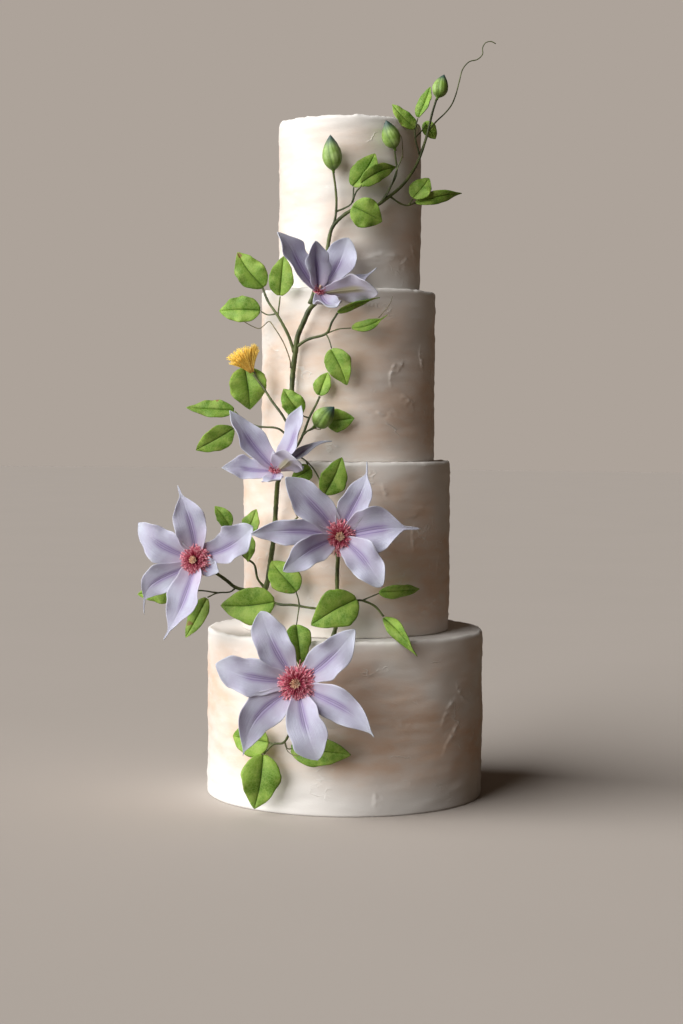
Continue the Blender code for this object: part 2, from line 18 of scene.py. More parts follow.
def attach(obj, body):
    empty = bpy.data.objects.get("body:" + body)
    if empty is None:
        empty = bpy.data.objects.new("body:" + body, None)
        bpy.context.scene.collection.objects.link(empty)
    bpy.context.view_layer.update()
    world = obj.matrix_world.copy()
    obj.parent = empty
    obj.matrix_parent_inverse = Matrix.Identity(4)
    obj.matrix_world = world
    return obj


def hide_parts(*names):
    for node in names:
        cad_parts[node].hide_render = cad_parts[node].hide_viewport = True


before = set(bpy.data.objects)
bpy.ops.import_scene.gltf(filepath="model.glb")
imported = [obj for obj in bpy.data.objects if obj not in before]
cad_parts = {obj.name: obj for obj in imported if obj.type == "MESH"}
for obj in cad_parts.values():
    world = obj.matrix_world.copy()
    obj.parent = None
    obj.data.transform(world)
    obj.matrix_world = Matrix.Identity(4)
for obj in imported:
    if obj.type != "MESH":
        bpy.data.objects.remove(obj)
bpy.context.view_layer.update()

bl_info = {
    "name": "Tiered cake with sugar clematis",
    "version": (1, 0, 0),
    "blender": (4, 5, 0),
    "location": "3D View > Sidebar > Cake",
    "description": "Spreads the buttercream, shapes the sugar flowers and sets the stage",
    "category": "Object",
}

MM = 0.001

# Tiers, from the bottom up, mm
TIER_NAMES = ("bottom", "second", "third", "top")
TIER_RADII = (127.0, 95.0, 79.5, 65.0)
TIER_TOPS = (152.0, 307.0, 461.0, 614.0)
TIER_GAP = 0.3
RIM_ROUND = 3.0
HAND_WOBBLE = 0.5
BLUSH = (1.0, 0.95, 0.85, 0.6)  # how strongly each tier is blushed
PALE_FOOT = ((8, 50), (-14, 26), (-14, 26), (-6, 40))  # where the blush fades in above a foot
RIM_ROUGHNESS = (0.7, 0.7, 0.7, 1.2)
SIDE_ROWS = (112, 130, 130, 134)  # of mesh up each tier's side
SIDE_STEPS = (600, 520, 520, 480)  # round it

# Flowers: petals are (clock, lift, length, width, roll, arch, bow, late, point, body). Clock is
# the place round the face and lift the rise out of it, in degrees. Arch bows a petal out of its
# plane and bow bends it clockwise, per length; a late above 1 moves that bend towards the tip.
# Point is how drawn out the tip is, and past the body's share of the length is a thin tail.
# A sharply folded petal adds how far its sides rise, per half width.
PETAL_SEAT = 2.5
FLOWERS = {
    "crown": {
        "centre": (-27, 90, 455),
        "face": (0.25, 0.5, 0.83),
        "boss": (4.0, 8.0),
        "petals": (
            (313, 45, 64, 27, -20, -0.08, 0.03, 1.0, 1.0, 1.0),
            (342, 58, 46, 25, -14, -0.04, 0.05, 1.0, 0.9, 1.0, 0.9),
            (46, 50, 58, 30, -5, -0.10, 0.05, 1.0, 0.8, 1.0),
            (90, 28, 57, 20, 35, -0.12, -0.05, 1.0, 1.2, 0.85),
            (127, 28, 54, 29, -74, -0.02, -0.06, 1.0, 0.8, 1.0, 0.1),
            (182, 20, 41, 24, 10, -0.14, 0.0, 1.0, 0.9, 1.0),
        ),
    },
    "middle": {
        "centre": (-62, 104, 299),
        "face": (-0.2, 0.5, 0.84),
        "boss": (4.0, 8.0),
        "petals": (
            (298, 50, 68, 28, 8, -0.07, -0.03, 1.0, 1.1, 1.0),
            (31, 50, 62, 29, -8, -0.07, 0.04, 1.0, 1.1, 1.0),
            (254, 20, 48, 22, -35, -0.10, 0.06, 1.0, 1.1, 1.0),
            (48, 15, 56, 13, 0, 0.06, 0.06, 1.0, 1.2, 1.0),
            (114, 42, 38, 31, -66, -0.03, 0.0, 1.0, 0.8, 1.0, 0.2),
            (172, 12, 26, 20, 0, -0.08, 0.0, 1.0, 1.0, 1.0),
        ),
    },
    "left": {
        "centre": (-132, 95, 220),
        "face": (-0.25, 0.95, 0.1),
        "boss": (14.5, 11.0),
        "petals": (
            (345, 12, 68, 31, 10, 0.05, 0.08, 0.9, 1.0, 0.86),
            (300, 10, 63, 32, 0, 0.06, -0.07, 1.0, 1.0, 1.0),
            (60, 10, 62, 30, 0, -0.06, 0.07, 1.3, 0.75, 1.0),
            (223, 5, 68, 27, -15, 0.12, 0.17, 1.6, 0.9, 0.82),
            (196, 14, 77, 33, 10, 0.06, -0.06, 1.0, 1.1, 0.88),
            (112, 8, 26, 17, 0, 0.05, 0.0, 1.0, 1.0, 1.0),
        ),
    },
    "right": {
        "centre": (-6, 124, 244),
        "face": (0.0, 1.0, 0.05),
        "boss": (17.0, 11.5),
        "petals": (
            (317, 12, 72, 29, 5, 0.07, 0.02, 1.0, 0.95, 1.0),
            (19, 10, 69, 27, -10, 0.08, 0.07, 2.0, 0.9, 0.84),
            (84, 10, 70, 42, 0, 0.10, -0.05, 1.2, 1.1, 0.82),
            (139, 20, 60, 31, 10, 0.12, -0.05, 1.0, 0.75, 1.0),
            (238, 20, 60, 26, -15, 0.10, 0.06, 1.0, 0.85, 1.0),
            (271, 5, 78, 24, -15, 0.08, 0.05, 1.0, 1.05, 1.0),
        ),
    },
    "lower": {
        "centre": (-41, 156, 120),
        "face": (-0.15, 0.96, 0.12),
        "boss": (18.5, 12.0),
        "petals": (
            (333, 12, 70, 32, 0, 0.05, -0.04, 1.0, 0.75, 1.0),
            (47, 10, 71, 30, 0, 0.04, 0.05, 1.0, 0.95, 1.0),
            (282, 10, 72, 32, 0, 0.08, -0.05, 1.4, 0.8, 1.0),
            (122, 5, 82, 30, 10, 0.08, -0.08, 1.5, 0.95, 0.94),
            (161, 15, 68, 33, 0, 0.08, 0.02, 1.0, 0.6, 1.0),
            (214, 7, 77, 31, -10, 0.10, 0.13, 1.2, 1.0, 0.94),
        ),
    },
}

# Leaves: base, tip, width, roll, twist and arch. A drawn-out leaf adds its bow and body. A leaf's
# foot runs a little past its base, onto the end of its stalk.
LEAF_FOOT = 1.2
LEAVES = {
    "crest": (
        ((57, 42, 607), (37, 44, 627), 15, 25, 0, 0.10),
        ((61, 42, 617), (71, 38, 643), 13, -35, 20, 0.12),
        ((68, 22, 614), (77, 18, 600), 13, 10, 0, 0.10),
        ((57, 50, 544), (71, 45, 562), 19, -15, 0, 0.08),
        ((60, 48, 539), (101, 30, 550), 12, 20, 110, 0.10),
    ),
    "top": (
        ((3, 76, 551), (22, 71, 580), 23, -12, 0, 0.08),
        ((10, 84, 552), (40, 70, 568), 16, 20, 30, 0.12),
        ((3, 83, 531), (28, 78, 519), 27, 8, 0, 0.14),
    ),
    "third": (
        ((-77, 56, 463), (-100, 50, 493), 26, 5, 0, 0.08),
        ((-61, 72, 455), (-58, 70, 489), 22, -5, 10, 0.06),
        ((-80, 62, 441), (-117, 50, 441), 24, 10, 0, 0.08),
        ((-9, 91, 439), (27, 89, 452), 8, 55, 60, 0.05, -0.03, 0.92),
        ((4, 89, 425), (34, 87, 437), 12, -20, 60, 0.08, 0.08, 0.8),
        ((-15, 91, 405), (-1, 91, 375), 23, 10, 10, 0.08),
        ((-25, 84, 367), (-18, 80, 386), 16, -15, 0, 0.06),
        ((-42, 88, 350), (-57, 84, 371), 20, 10, 0, 0.14),
        ((-18, 83, 344), (6, 86, 346), 20, 10, 0, 0.06),
        ((-93, 48, 389), (-88, 50, 353), 35, -5, 0, 0.14),
        ((-103, 60, 352), (-144, 55, 354), 17, 25, 20, 0.06),
        ((-103, 64, 335), (-136, 60, 316), 22, -15, -15, 0.10),
    ),
    "second": (
        ((-19, 104, 281), (-5, 108, 312), 24, 10, 0, 0.08),
        ((-33, 100, 301), (-49, 104, 292), 16, -10, 0, 0.08),
        ((-11, 104, 246), (-8, 103, 269), 18, 0, 0, 0.05),
        ((-104, 83, 250), (-117, 80, 267), 14, 15, 15, 0.08),
        ((-89, 79, 244), (-80, 80, 265), 16, -20, 0, 0.08),
        ((-87, 81, 241), (-87, 82, 218), 14, 20, 15, 0.08),
        ((-44, 104, 195), (-67, 90, 220), 27, 15, 10, 0.12),
        ((-64, 95, 184), (-111, 80, 179), 32, 5, 0, 0.08),
        ((8, 113, 188), (-30, 118, 166), 34, 0, 0, 0.10),
        ((30, 100, 194), (66, 88, 196), 15, 35, 20, 0.10),
        ((34, 106, 171), (62, 129, 141), 14, 20, 120, 0.12),
    ),
    "bottom": (
        ((-43, 119, 165), (-38, 139, 133), 22, -15, 0, 0.10),
        ((-149, 80, 190), (-185, 76, 188), 19, -5, 0, 0.10),
        ((-124, 79, 184), (-142, 77, 150), 17, 20, 0, 0.08),
        ((-67, 122, 64), (-101, 99, 65), 29, 0, 0, 0.06),
        ((-71, 121, 52), (-78, 122, 6), 34, 0, 0, 0.08),
        ((-45, 130, 60), (6, 138, 57), 27, 0, 10, 0.08),
    ),
}

# Buds: base, tip and thickness
BUD_NECK = 1.2
BUDS = (
    ((-15, 75, 564), (-18, 76, 595), 17),
    ((39, 65, 585), (31, 70, 609), 16),
    ((78, 28, 636), (84, 26, 657), 14),
    ((-29, 93, 339), (-12, 98, 356), 18),
)

# Seed head: base, tip, spread and thickness
SEED_HEAD = ((-86, 58, 386), (-96, 60, 406), 15, 8)

# Stems of each spray: radius at the start, radius at the end, and the route. A flower's
# name as the last place means the foot of that flower. The bare wire is thinner than its solid.
WIRE_SHARE = 0.86
SPRAYS = {
    "spray_left": (
        (3.0, 2.3, ((-80, 65, 154), (-82, 62, 166), (-76, 69, 183), (-70, 76, 200), (-67, 79, 221),
                    (-64, 83, 244), (-63, 86, 262), (-62, 92, 278), (-61, 99, 289), "middle")),
        (2.0, 1.6, ((-72, 73, 193), (-85, 77, 192), (-98, 78, 195), (-107, 80, 202),
                    (-118, 84, 210), (-126, 88, 216), "left")),
        (1.3, 0.9, ((-73, 73, 195), (-79, 74, 203), (-82, 72, 215), (-90, 72, 221),
                    (-96, 74, 229), (-98, 78, 239), (-104, 83, 249))),
        (0.9, 0.7, ((-96, 75, 230), (-92, 77, 238), (-89, 79, 243))),
        (1.5, 1.2, ((-74, 72, 188), (-66, 90, 184), (-57, 98, 182), (-46, 101, 182),
                    (-32, 104, 180), (-18, 105, 179))),
        (0.7, 0.6, ((-41, 102, 182), (-42, 107, 174), (-43, 118, 166))),
        (0.7, 0.6, ((-41, 102, 182), (-42, 104, 188), (-44, 104, 194))),
        (0.9, 0.7, ((-98, 78, 195), (-103, 79, 191), (-114, 79, 190), (-123, 79, 186))),
        (0.8, 0.7, ((-114, 79, 190), (-130, 79, 192), (-148, 80, 190))),
        (1.0, 0.8, ((-64, 83, 236), (-59, 87, 243), (-53, 91, 250), (-43, 98, 259))),
    ),
    "spray_right": (
        (2.3, 2.1, ((-11, 106, 154), (-8, 104, 170), (-8, 104, 197), (-8, 107, 214),
                    (-7, 114, 231), "right")),
        (1.4, 1.1, ((-8, 104, 184), (0, 108, 187), (8, 109, 187), (14, 106, 187), (25, 104, 182),
                    (33, 105, 173))),
        (0.8, 0.6, ((14, 106, 187), (21, 104, 190), (29, 100, 193))),
        (0.8, 0.6, ((-8, 109, 220), (-10, 105, 232), (-11, 104, 245))),
    ),
    "spray_top": (
        (2.8, 2.6, ((-51, 71, 309), (-52, 73, 322), (-51, 73, 335), (-51, 72, 353), (-50, 71, 371),
                    (-49, 72, 388), (-47, 74, 404), (-45, 76, 418), (-40, 79, 430),
                    (-35, 81, 441), "crown")),
        (2.3, 1.2, ((-34, 83, 446), (-29, 80, 462), (-24, 74, 475), (-20, 71, 488), (-19, 70, 499),
                    (-16, 71, 513), (-9, 72, 522), (1, 73, 529), (11, 72, 531), (23, 69, 534),
                    (35, 64, 543), (44, 58, 551), (52, 52, 561), (60, 43, 575), (66, 37, 592),
                    (70, 33, 606), (73, 30, 620), (77, 28, 634))),
        (0.8, 0.5, ((70, 33, 605), (77, 30, 614), (85, 27, 622), (91, 24, 630), (95, 22, 640),
                    (98, 20, 652), (101, 19, 663), (107, 18, 670), (114, 17, 672), (119, 16, 677),
                    (119, 15, 683), (122, 14, 688), (127, 14, 689), (131, 14, 687))),
        (1.3, 1.1, ((-16, 71, 513), (-13, 72, 522), (-12, 73, 535), (-13, 74, 549), (-15, 75, 562))),
        (1.0, 0.8, ((-13, 72, 528), (-5, 74, 531), (2, 77, 536), (3, 76, 549))),
        (0.9, 0.8, ((2, 77, 536), (5, 81, 544), (10, 84, 550))),
        (0.8, 0.7, ((1, 73, 529), (2, 78, 530), (3, 82, 531))),
        (1.0, 0.9, ((27, 68, 536), (35, 65, 550), (41, 62, 564), (39, 65, 583))),
        (0.8, 0.6, ((30, 67, 540), (36, 68, 551), (41, 66, 566), (46, 63, 578))),
        (0.9, 0.7, ((62, 40, 583), (58, 42, 597), (58, 42, 606), (60, 42, 615))),
        (0.7, 0.6, ((58, 42, 598), (63, 33, 604), (68, 23, 612))),
        (0.9, 0.8, ((35, 64, 543), (45, 59, 537), (52, 55, 536), (58, 49, 539))),
        (0.7, 0.6, ((52, 55, 536), (56, 51, 542))),
        (1.7, 1.2, ((-48, 74, 404), (-54, 73, 420), (-63, 70, 436), (-72, 62, 449),
                    (-77, 57, 461))),
        (0.8, 0.7, ((-63, 70, 436), (-62, 72, 444), (-61, 72, 453))),
        (0.8, 0.7, ((-64, 69, 438), (-72, 65, 437), (-78, 63, 440))),
        (1.6, 1.1, ((-47, 74, 408), (-36, 81, 415), (-20, 86, 420), (-15, 88, 430), (-10, 90, 438))),
        (0.7, 0.6, ((-20, 86, 420), (-9, 88, 424), (2, 89, 425))),
        (0.7, 0.6, ((-20, 86, 420), (-17, 89, 414), (-15, 91, 407))),
        (1.6, 1.1, ((-51, 73, 318), (-45, 79, 321), (-40, 84, 330), (-34, 86, 346),
                    (-28, 85, 358), (-25, 84, 365))),
        (0.9, 0.8, ((-40, 84, 330), (-36, 88, 334), (-30, 92, 338))),
        (0.7, 0.6, ((-34, 86, 346), (-38, 87, 347), (-41, 88, 349))),
        (0.7, 0.6, ((-39, 85, 333), (-29, 83, 337), (-20, 83, 343))),
        (1.4, 1.2, ((-51, 73, 335), (-58, 74, 348), (-68, 68, 361), (-76, 62, 373), (-85, 58, 384))),
        (0.9, 0.7, ((-80, 60, 378), (-84, 54, 386), (-89, 49, 392), (-93, 47, 391))),
        (1.2, 0.8, ((-51, 73, 326), (-58, 76, 334), (-65, 74, 337), (-80, 70, 338),
                    (-92, 65, 343), (-101, 61, 351))),
        (0.8, 0.7, ((-90, 66, 342), (-102, 64, 336))),
        (0.9, 0.7, ((-51, 73, 318), (-44, 88, 313), (-36, 97, 308), (-28, 101, 299),
                    (-20, 103, 283))),
        (0.7, 0.6, ((-36, 97, 308), (-34, 99, 303))),
    ),
    "spray_low": (
        (2.1, 1.8, ((3, 110, 155), (3, 121, 158), (1, 131, 158), (-4, 139, 153), (-14, 146, 141),
                    (-26, 149, 127), "lower")),
        (1.5, 1.1, ((-37, 148, 119), (-42, 146, 106), (-44, 138, 86), (-52, 129, 66),
                    (-62, 125, 63), (-70, 121, 54))),
        (0.8, 0.7, ((-52, 129, 66), (-50, 129, 60), (-46, 130, 60))),
        (0.8, 0.7, ((-62, 125, 63), (-66, 122, 64))),
    ),
}

# Dry curling tendrils: radius at the start, radius at the end, and the route
TENDRILS = (
    (0.7, 0.4, ((-51, 75, 390), (-52, 78, 398), (-58, 78, 413), (-67, 74, 427), (-71, 70, 431),
                (-76, 66, 427), (-81, 62, 425), (-93, 56, 431), (-96, 54, 435))),
    (0.5, 0.3, ((-43, 98, 258), (-46, 99, 264), (-48, 100, 269), (-46, 102, 274), (-43, 102, 272))),
    (0.6, 0.3, ((46, 63, 577), (46, 62, 587), (45, 64, 595), (42, 66, 598), (40, 67, 594),
                (42, 67, 591))),
    (0.4, 0.25, ((26, 89, 434), (31, 90, 440), (36, 90, 447), (38, 89, 453))),
    (0.5, 0.3, ((-30, 92, 337), (-24, 95, 336), (-21, 97, 340), (-23, 98, 344), (-26, 97, 341),
                (-25, 97, 338))),
    (0.5, 0.3, ((-52, 129, 65), (-49, 133, 58), (-42, 136, 55), (-36, 137, 58))),
)


class CakeLook(bpy.types.PropertyGroup):
    """Sizes and colours of the finished cake."""

    ridge: bpy.props.FloatProperty(
        name="Spatula ridge", description="Height of the ridges that the spatula leaves",
        default=0.65 * MM, min=0.0, unit="LENGTH")
    unevenness: bpy.props.FloatProperty(
        name="Unevenness", description="Slow rise and fall of the spread icing",
        default=1.0 * MM, min=0.0, unit="LENGTH")
    petal_thickness: bpy.props.FloatProperty(
        name="Petal thickness", description="Thickness of the rolled petal paste",
        default=0.8 * MM, min=0.0, unit="LENGTH")
    leaf_thickness: bpy.props.FloatProperty(
        name="Leaf thickness", description="Thickness of the rolled leaf paste",
        default=0.8 * MM, min=0.0, unit="LENGTH")
    stamens: bpy.props.IntProperty(
        name="Stamens", description="Stamens in an open flower", default=520, min=10)
    ivory: bpy.props.FloatVectorProperty(
        name="Buttercream", description="Colour of the buttercream", subtype="COLOR",
        default=(0.86, 0.835, 0.80), min=0.0, max=1.0)
    peach: bpy.props.FloatVectorProperty(
        name="Buttercream blush", description="Colour brushed over parts of the buttercream",
        subtype="COLOR", default=(0.79, 0.575, 0.43), min=0.0, max=1.0)
    lilac: bpy.props.FloatVectorProperty(
        name="Petals", description="Colour of the petals", subtype="COLOR",
        default=(0.53, 0.545, 0.67), min=0.0, max=1.0)
    mauve: bpy.props.FloatVectorProperty(
        name="Petal rib", description="Colour of the petals' grooved middle", subtype="COLOR",
        default=(0.20, 0.14, 0.33), min=0.0, max=1.0)
    leaf: bpy.props.FloatVectorProperty(
        name="Leaves", description="Colour of the leaves", subtype="COLOR",
        default=(0.26, 0.43, 0.055), min=0.0, max=1.0)
    leaf_deep: bpy.props.FloatVectorProperty(
        name="Leaf depth", description="Darker green of the leaves", subtype="COLOR",
        default=(0.115, 0.245, 0.018), min=0.0, max=1.0)


# Small tools


def place(spot):
    """World position of an (across, out, up) spot in millimetres."""
    across, out, up = spot
    return Vector((across, -out, up)) * MM


def finished(name, mesh, materials, nodes=()):
    """Object for a finished mesh, riding on the cake in the place of its solids."""
    piece = bpy.data.objects.new(name, mesh)
    for material in materials:
        mesh.materials.append(material)
    bpy.context.scene.collection.objects.link(piece)
    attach(piece, "root")
    if nodes:
        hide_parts(*nodes)
    return piece


def mesh_from(bm, name):
    mesh = bpy.data.meshes.new(name)
    bm.to_mesh(mesh)
    bm.free()
    mesh.shade_smooth()
    return mesh


def frame_along(direction, sideways):
    """Matrix whose Z runs along direction and whose X is as near sideways as it can be."""
    up = direction.normalized()
    across = (sideways - up * sideways.dot(up)).normalized()
    return Matrix((across, up.cross(across), up)).transposed()


def layer(bm, name):
    return bm.verts.layers.float.get(name) or bm.verts.layers.float.new(name)


def stand(bm, foot, axis, sideways):
    """Put a solid that was made along Z on its foot and turn it to an axis."""
    matrix = Matrix.Translation(foot) @ frame_along(axis, sideways).to_4x4()
    bmesh.ops.transform(bm, matrix=matrix, verts=bm.verts)


def turned(profile, steps):
    """Closed solid turned about Z from (radius, height) points that start and end on the axis."""
    bm = bmesh.new()
    ring = [bm.verts.new((radius, 0.0, height)) for radius, height in profile]
    edges = [bm.edges.new(pair) for pair in zip(ring, ring[1:])]
    bmesh.ops.spin(bm, geom=ring + edges, cent=(0, 0, 0), axis=(0, 0, 1), dvec=(0, 0, 0),
                   angle=math.tau, steps=steps, use_merge=True)
    bmesh.ops.remove_doubles(bm, verts=bm.verts, dist=1e-7)
    bmesh.ops.recalc_face_normals(bm, faces=bm.faces)
    return bm


# Materials


class Finish:
    """A material and short ways to add nodes to it."""

    def __init__(self, name, roughness, **constants):
        self.material = bpy.data.materials.new(name)
        self.material.use_nodes = True
        self.tree = self.material.node_tree
        self.shader = self.tree.nodes["Principled BSDF"]
        self.shader.inputs["Roughness"].default_value = roughness
        for socket, value in constants.items():
            self.shader.inputs[socket.replace("_", " ")].default_value = value

    def add(self, kind, inputs, **settings):
        """Node of a kind, with each input set to a value or linked to a socket."""
        node = self.tree.nodes.new("ShaderNode" + kind)
        for name, value in settings.items():
            setattr(node, name, value)
        for key, value in inputs.items():
            if isinstance(value, bpy.types.NodeSocket):
                self.tree.links.new(value, node.inputs[key])
            else:
                node.inputs[key].default_value = value
        return node

    def math(self, operation, *values):
        return self.add("Math", dict(enumerate(values)), operation=operation).outputs[0]

    def times(self, one, other):
        return self.math("MULTIPLY", one, other)

    def attribute(self, name):
        return self.add("Attribute", {}, attribute_name=name).outputs["Fac"]

    def spot(self, scale=(1.0, 1.0, 1.0)):
        """Object coordinates, stretched."""
        where = self.add("TexCoord", {}).outputs["Object"]
        return self.add("Mapping", {"Vector": where, "Scale": scale}).outputs["Vector"]

    def noise(self, vector, scale, detail=3.0, rough=0.5):
        node = self.add("TexNoise", {"Vector": vector, "Scale": scale, "Detail": detail,
                                     "Roughness": rough})
        return node.outputs["Fac"]

    def ease(self, value, low, high):
        """0 below low and 1 above high, or the other way round if low is the higher."""
        node = self.add("MapRange", {"Value": value, "From Min": low, "From Max": high},
                        interpolation_type="SMOOTHSTEP")
        return node.outputs["Result"]

    def mix(self, share, low, high):
        """Colour between low and high."""
        node = self.add("Mix", {}, data_type="RGBA", blend_type="MIX")
        for index, value in ((0, share), (6, low), (7, high)):
            if isinstance(value, bpy.types.NodeSocket):
                self.tree.links.new(value, node.inputs[index])
            elif index:
                node.inputs[index].default_value = (*value[:3], 1.0)
            else:
                node.inputs[index].default_value = value
        return node.outputs[2]

    def tint(self, colour, mask, other, strength):
        """Colour with another laid over it where the mask is, never stronger than strength."""
        return self.mix(self.times(mask, strength), colour, other)

    def join(self, across, along):
        """Vector from two numbers."""
        return self.add("CombineXYZ", {0: across, 1: along}).outputs[0]

    def bump(self, height, distance, strength=1.0, under=None):
        inputs = {"Height": height, "Distance": distance, "Strength": strength}
        if under:
            inputs["Normal"] = under
        return self.add("Bump", inputs).outputs["Normal"]

    def done(self, colour, normal=None, roughness=None):
        self.tree.links.new(colour, self.shader.inputs["Base Color"])
        if normal:
            self.tree.links.new(normal, self.shader.inputs["Normal"])
        if roughness:
            self.tree.links.new(roughness, self.shader.inputs["Roughness"])
        return self.material


def torn_lines(finish):
    """Thin broken curves where the icing tore under the spatula, 0 to 1."""
    field = finish.noise(finish.spot((1.0, 1.0, 1.5)), 20.0, 4.0, 0.55)
    off = finish.math("ABSOLUTE", finish.math("SUBTRACT", field, 0.5))
    where = finish.noise(finish.spot(), 34.0, 3.0, 0.6)
    return finish.times(finish.ease(off, 0.016, 0.0), finish.ease(where, 0.53, 0.68))


def buttercream(look, number):
    """Ivory icing, blushed in soft patches round the middle of the tier."""
    finish = Finish(f"buttercream_{TIER_NAMES[number]}", 0.6)
    base = TIER_TOPS[number - 1] if number else 0.0
    top = TIER_TOPS[number]
    where = finish.add("TexCoord", {}).outputs["Object"]
    height = finish.add("SeparateXYZ", {0: where}).outputs["Z"]
    low, high = PALE_FOOT[number]
    above_foot = finish.ease(height, (base + low) * MM, (base + high) * MM)
    below_rim = finish.ease(height, (top + 6) * MM, (top - 24) * MM)
    band = finish.times(above_foot, below_rim)
    cloud = finish.noise(finish.spot((1.0, 1.0, 1.5)), 9.0 + number, 2.5, 0.5)
    patch = finish.times(finish.ease(cloud, 0.32, 0.56), band)
    patch = finish.times(patch, BLUSH[number])
    streaks = finish.noise(finish.spot((1.0, 1.0, 2.6)), 30.0, 4.0, 0.6)
    brushed = finish.math("MULTIPLY_ADD", finish.ease(streaks, 0.3, 0.7), 0.45, 0.55)
    colour = finish.mix(finish.times(patch, brushed), look.ivory, look.peach)
    tone = finish.noise(finish.spot(), 26.0, 3.0, 0.6)
    colour = finish.tint(colour, finish.ease(tone, 0.35, 0.8), (0.92, 0.90, 0.87), 0.18)
    rim = finish.ease(height, (top - 3.5) * MM, (top + 0.2) * MM)
    torn = torn_lines(finish)
    # Painted highlight: lighter over the spatula crests, the top rim and the torn lines.
    painted_highlight = finish.math("MAXIMUM", finish.ease(finish.attribute("ridge"), 0.2, 1.0), rim)
    painted_highlight = finish.math("MAXIMUM", painted_highlight, torn)
    colour = finish.tint(colour, painted_highlight, (0.93, 0.90, 0.86), 0.6)
    drag = finish.bump(torn, 0.5 * MM, 0.6, finish.bump(streaks, 0.9 * MM, 0.5))
    grain = finish.noise(finish.spot(), 900.0, 2.0, 0.6)
    normal = finish.bump(grain, 0.12 * MM, 0.5, drag)
    return finish.done(colour, normal, finish.math("MULTIPLY_ADD", streaks, 0.25, 0.45))


def petal_finish(look, name, back):
    """Dusted sugar petal: three darker grooves, pinker at the foot and paler at the edge."""
    finish = Finish(name, 0.65, Specular_IOR_Level=0.3, Subsurface_Weight=0.35,
                    Subsurface_Radius=(1.0, 0.95, 1.1), Subsurface_Scale=2.0 * MM)
    side = finish.attribute("side")
    along = finish.attribute("along")
    edge = finish.math("ABSOLUTE", side)
    cloud = finish.noise(finish.spot(), 60.0, 3.0, 0.55)
    colour = finish.mix(finish.ease(cloud, 0.35, 0.7), look.lilac, (0.46, 0.445, 0.57))
    lines = finish.noise(finish.join(finish.times(side, 26.0),
                                     finish.times(along, 2.5)), 1.0, 3.0, 0.6)
    colour = finish.tint(colour, finish.ease(lines, 0.42, 0.72), (0.42, 0.40, 0.56), 0.42)
    foot = finish.ease(along, 0.48, 0.02)
    colour = finish.tint(colour, foot, (0.55, 0.38, 0.53), 0.5)
    rim = finish.ease(edge, 0.82, 1.0)
    colour = finish.tint(colour, rim, (0.66, 0.69, 0.77), 0.3)
    tip = finish.ease(along, 0.75, 1.0)
    colour = finish.tint(colour, tip, (0.62, 0.68, 0.74), 0.45)
    fade = finish.ease(along, 0.72, 0.5)
    if back:
        colour = finish.mix(0.35, colour, (0.55, 0.47, 0.55))
        stripe = finish.times(finish.ease(edge, 0.36, 0.10), finish.ease(along, 0.88, 0.55))
        colour = finish.tint(colour, stripe, (0.44, 0.40, 0.25), 0.9)
    else:
        band = finish.times(finish.ease(edge, 0.38, 0.12), fade)
        colour = finish.tint(colour, band, (0.33, 0.27, 0.45), 0.75)
        grooves = finish.math("ABSOLUTE", finish.math("SINE", finish.times(side, 26.0)))
        dark = finish.times(finish.ease(grooves, 0.7, 0.05), finish.ease(edge, 0.22, 0.15))
        dark = finish.times(dark, fade)
        colour = finish.tint(colour, dark, look.mauve, 0.8)
    return finish.done(colour, finish.bump(lines, 0.5 * MM, 0.7))


def leaf_finish(look):
    """Matte leaf paste with painted shade in the crease, faint side veins and a few brown specks."""
    finish = Finish("leaf_paste", 0.55, Specular_IOR_Level=0.3)
    side = finish.attribute("side")
    along = finish.attribute("along")
    edge = finish.math("ABSOLUTE", side)
    cloud = finish.noise(finish.spot(), 45.0, 4.0, 0.6)
    colour = finish.mix(finish.ease(cloud, 0.38, 0.66), look.leaf_deep, look.leaf)
    yellow = finish.noise(finish.spot(), 130.0, 3.0, 0.6)
    colour = finish.tint(colour, finish.ease(yellow, 0.42, 0.7), (0.38, 0.51, 0.10), 0.55)
    rise = finish.math("MULTIPLY_ADD", edge, -0.9, finish.times(along, 7.0))
    comb = finish.math("ABSOLUTE", finish.math("SINE", finish.times(rise, math.pi)))
    veins = finish.times(finish.ease(comb, 0.16, 0.0), finish.ease(edge, 1.0, 0.5))
    colour = finish.tint(colour, veins, (0.40, 0.55, 0.14), 0.4)
    cells = finish.add("TexVoronoi", {"Vector": finish.spot(), "Scale": 420.0},
                       feature="DISTANCE_TO_EDGE").outputs["Distance"]
    net = finish.ease(cells, 0.16, 0.02)
    colour = finish.tint(colour, net, (0.42, 0.56, 0.16), 0.22)
    # Painted shade: near black along the grooved midrib crease.
    crease = finish.times(finish.ease(edge, 0.06, 0.01), finish.ease(along, 0.95, 0.7))
    colour = finish.tint(colour, crease, (0.05, 0.10, 0.02), 0.75)
    # Darker towards the midrib and the foot.
    inner_darkening = finish.times(finish.ease(edge, 0.30, 0.0), finish.ease(along, 0.75, 0.1))
    colour = finish.tint(colour, inner_darkening, (0.08, 0.16, 0.02), 0.35)
    specks = finish.noise(finish.spot(), 95.0, 1.0, 0.4)
    colour = finish.tint(colour, finish.ease(specks, 0.74, 0.79), (0.24, 0.11, 0.04), 0.8)
    scorch = finish.times(finish.ease(edge, 0.93, 1.0), finish.ease(yellow, 0.5, 0.65))
    colour = finish.tint(colour, scorch, (0.26, 0.17, 0.05), 0.6)
    rough = finish.noise(finish.spot(), 420.0, 3.0, 0.6)
    fine = finish.bump(net, 0.2 * MM, 0.5, finish.bump(rough, 0.25 * MM, 0.5))
    normal = finish.bump(veins, 0.25 * MM, 0.5, fine)
    return finish.done(colour, normal)


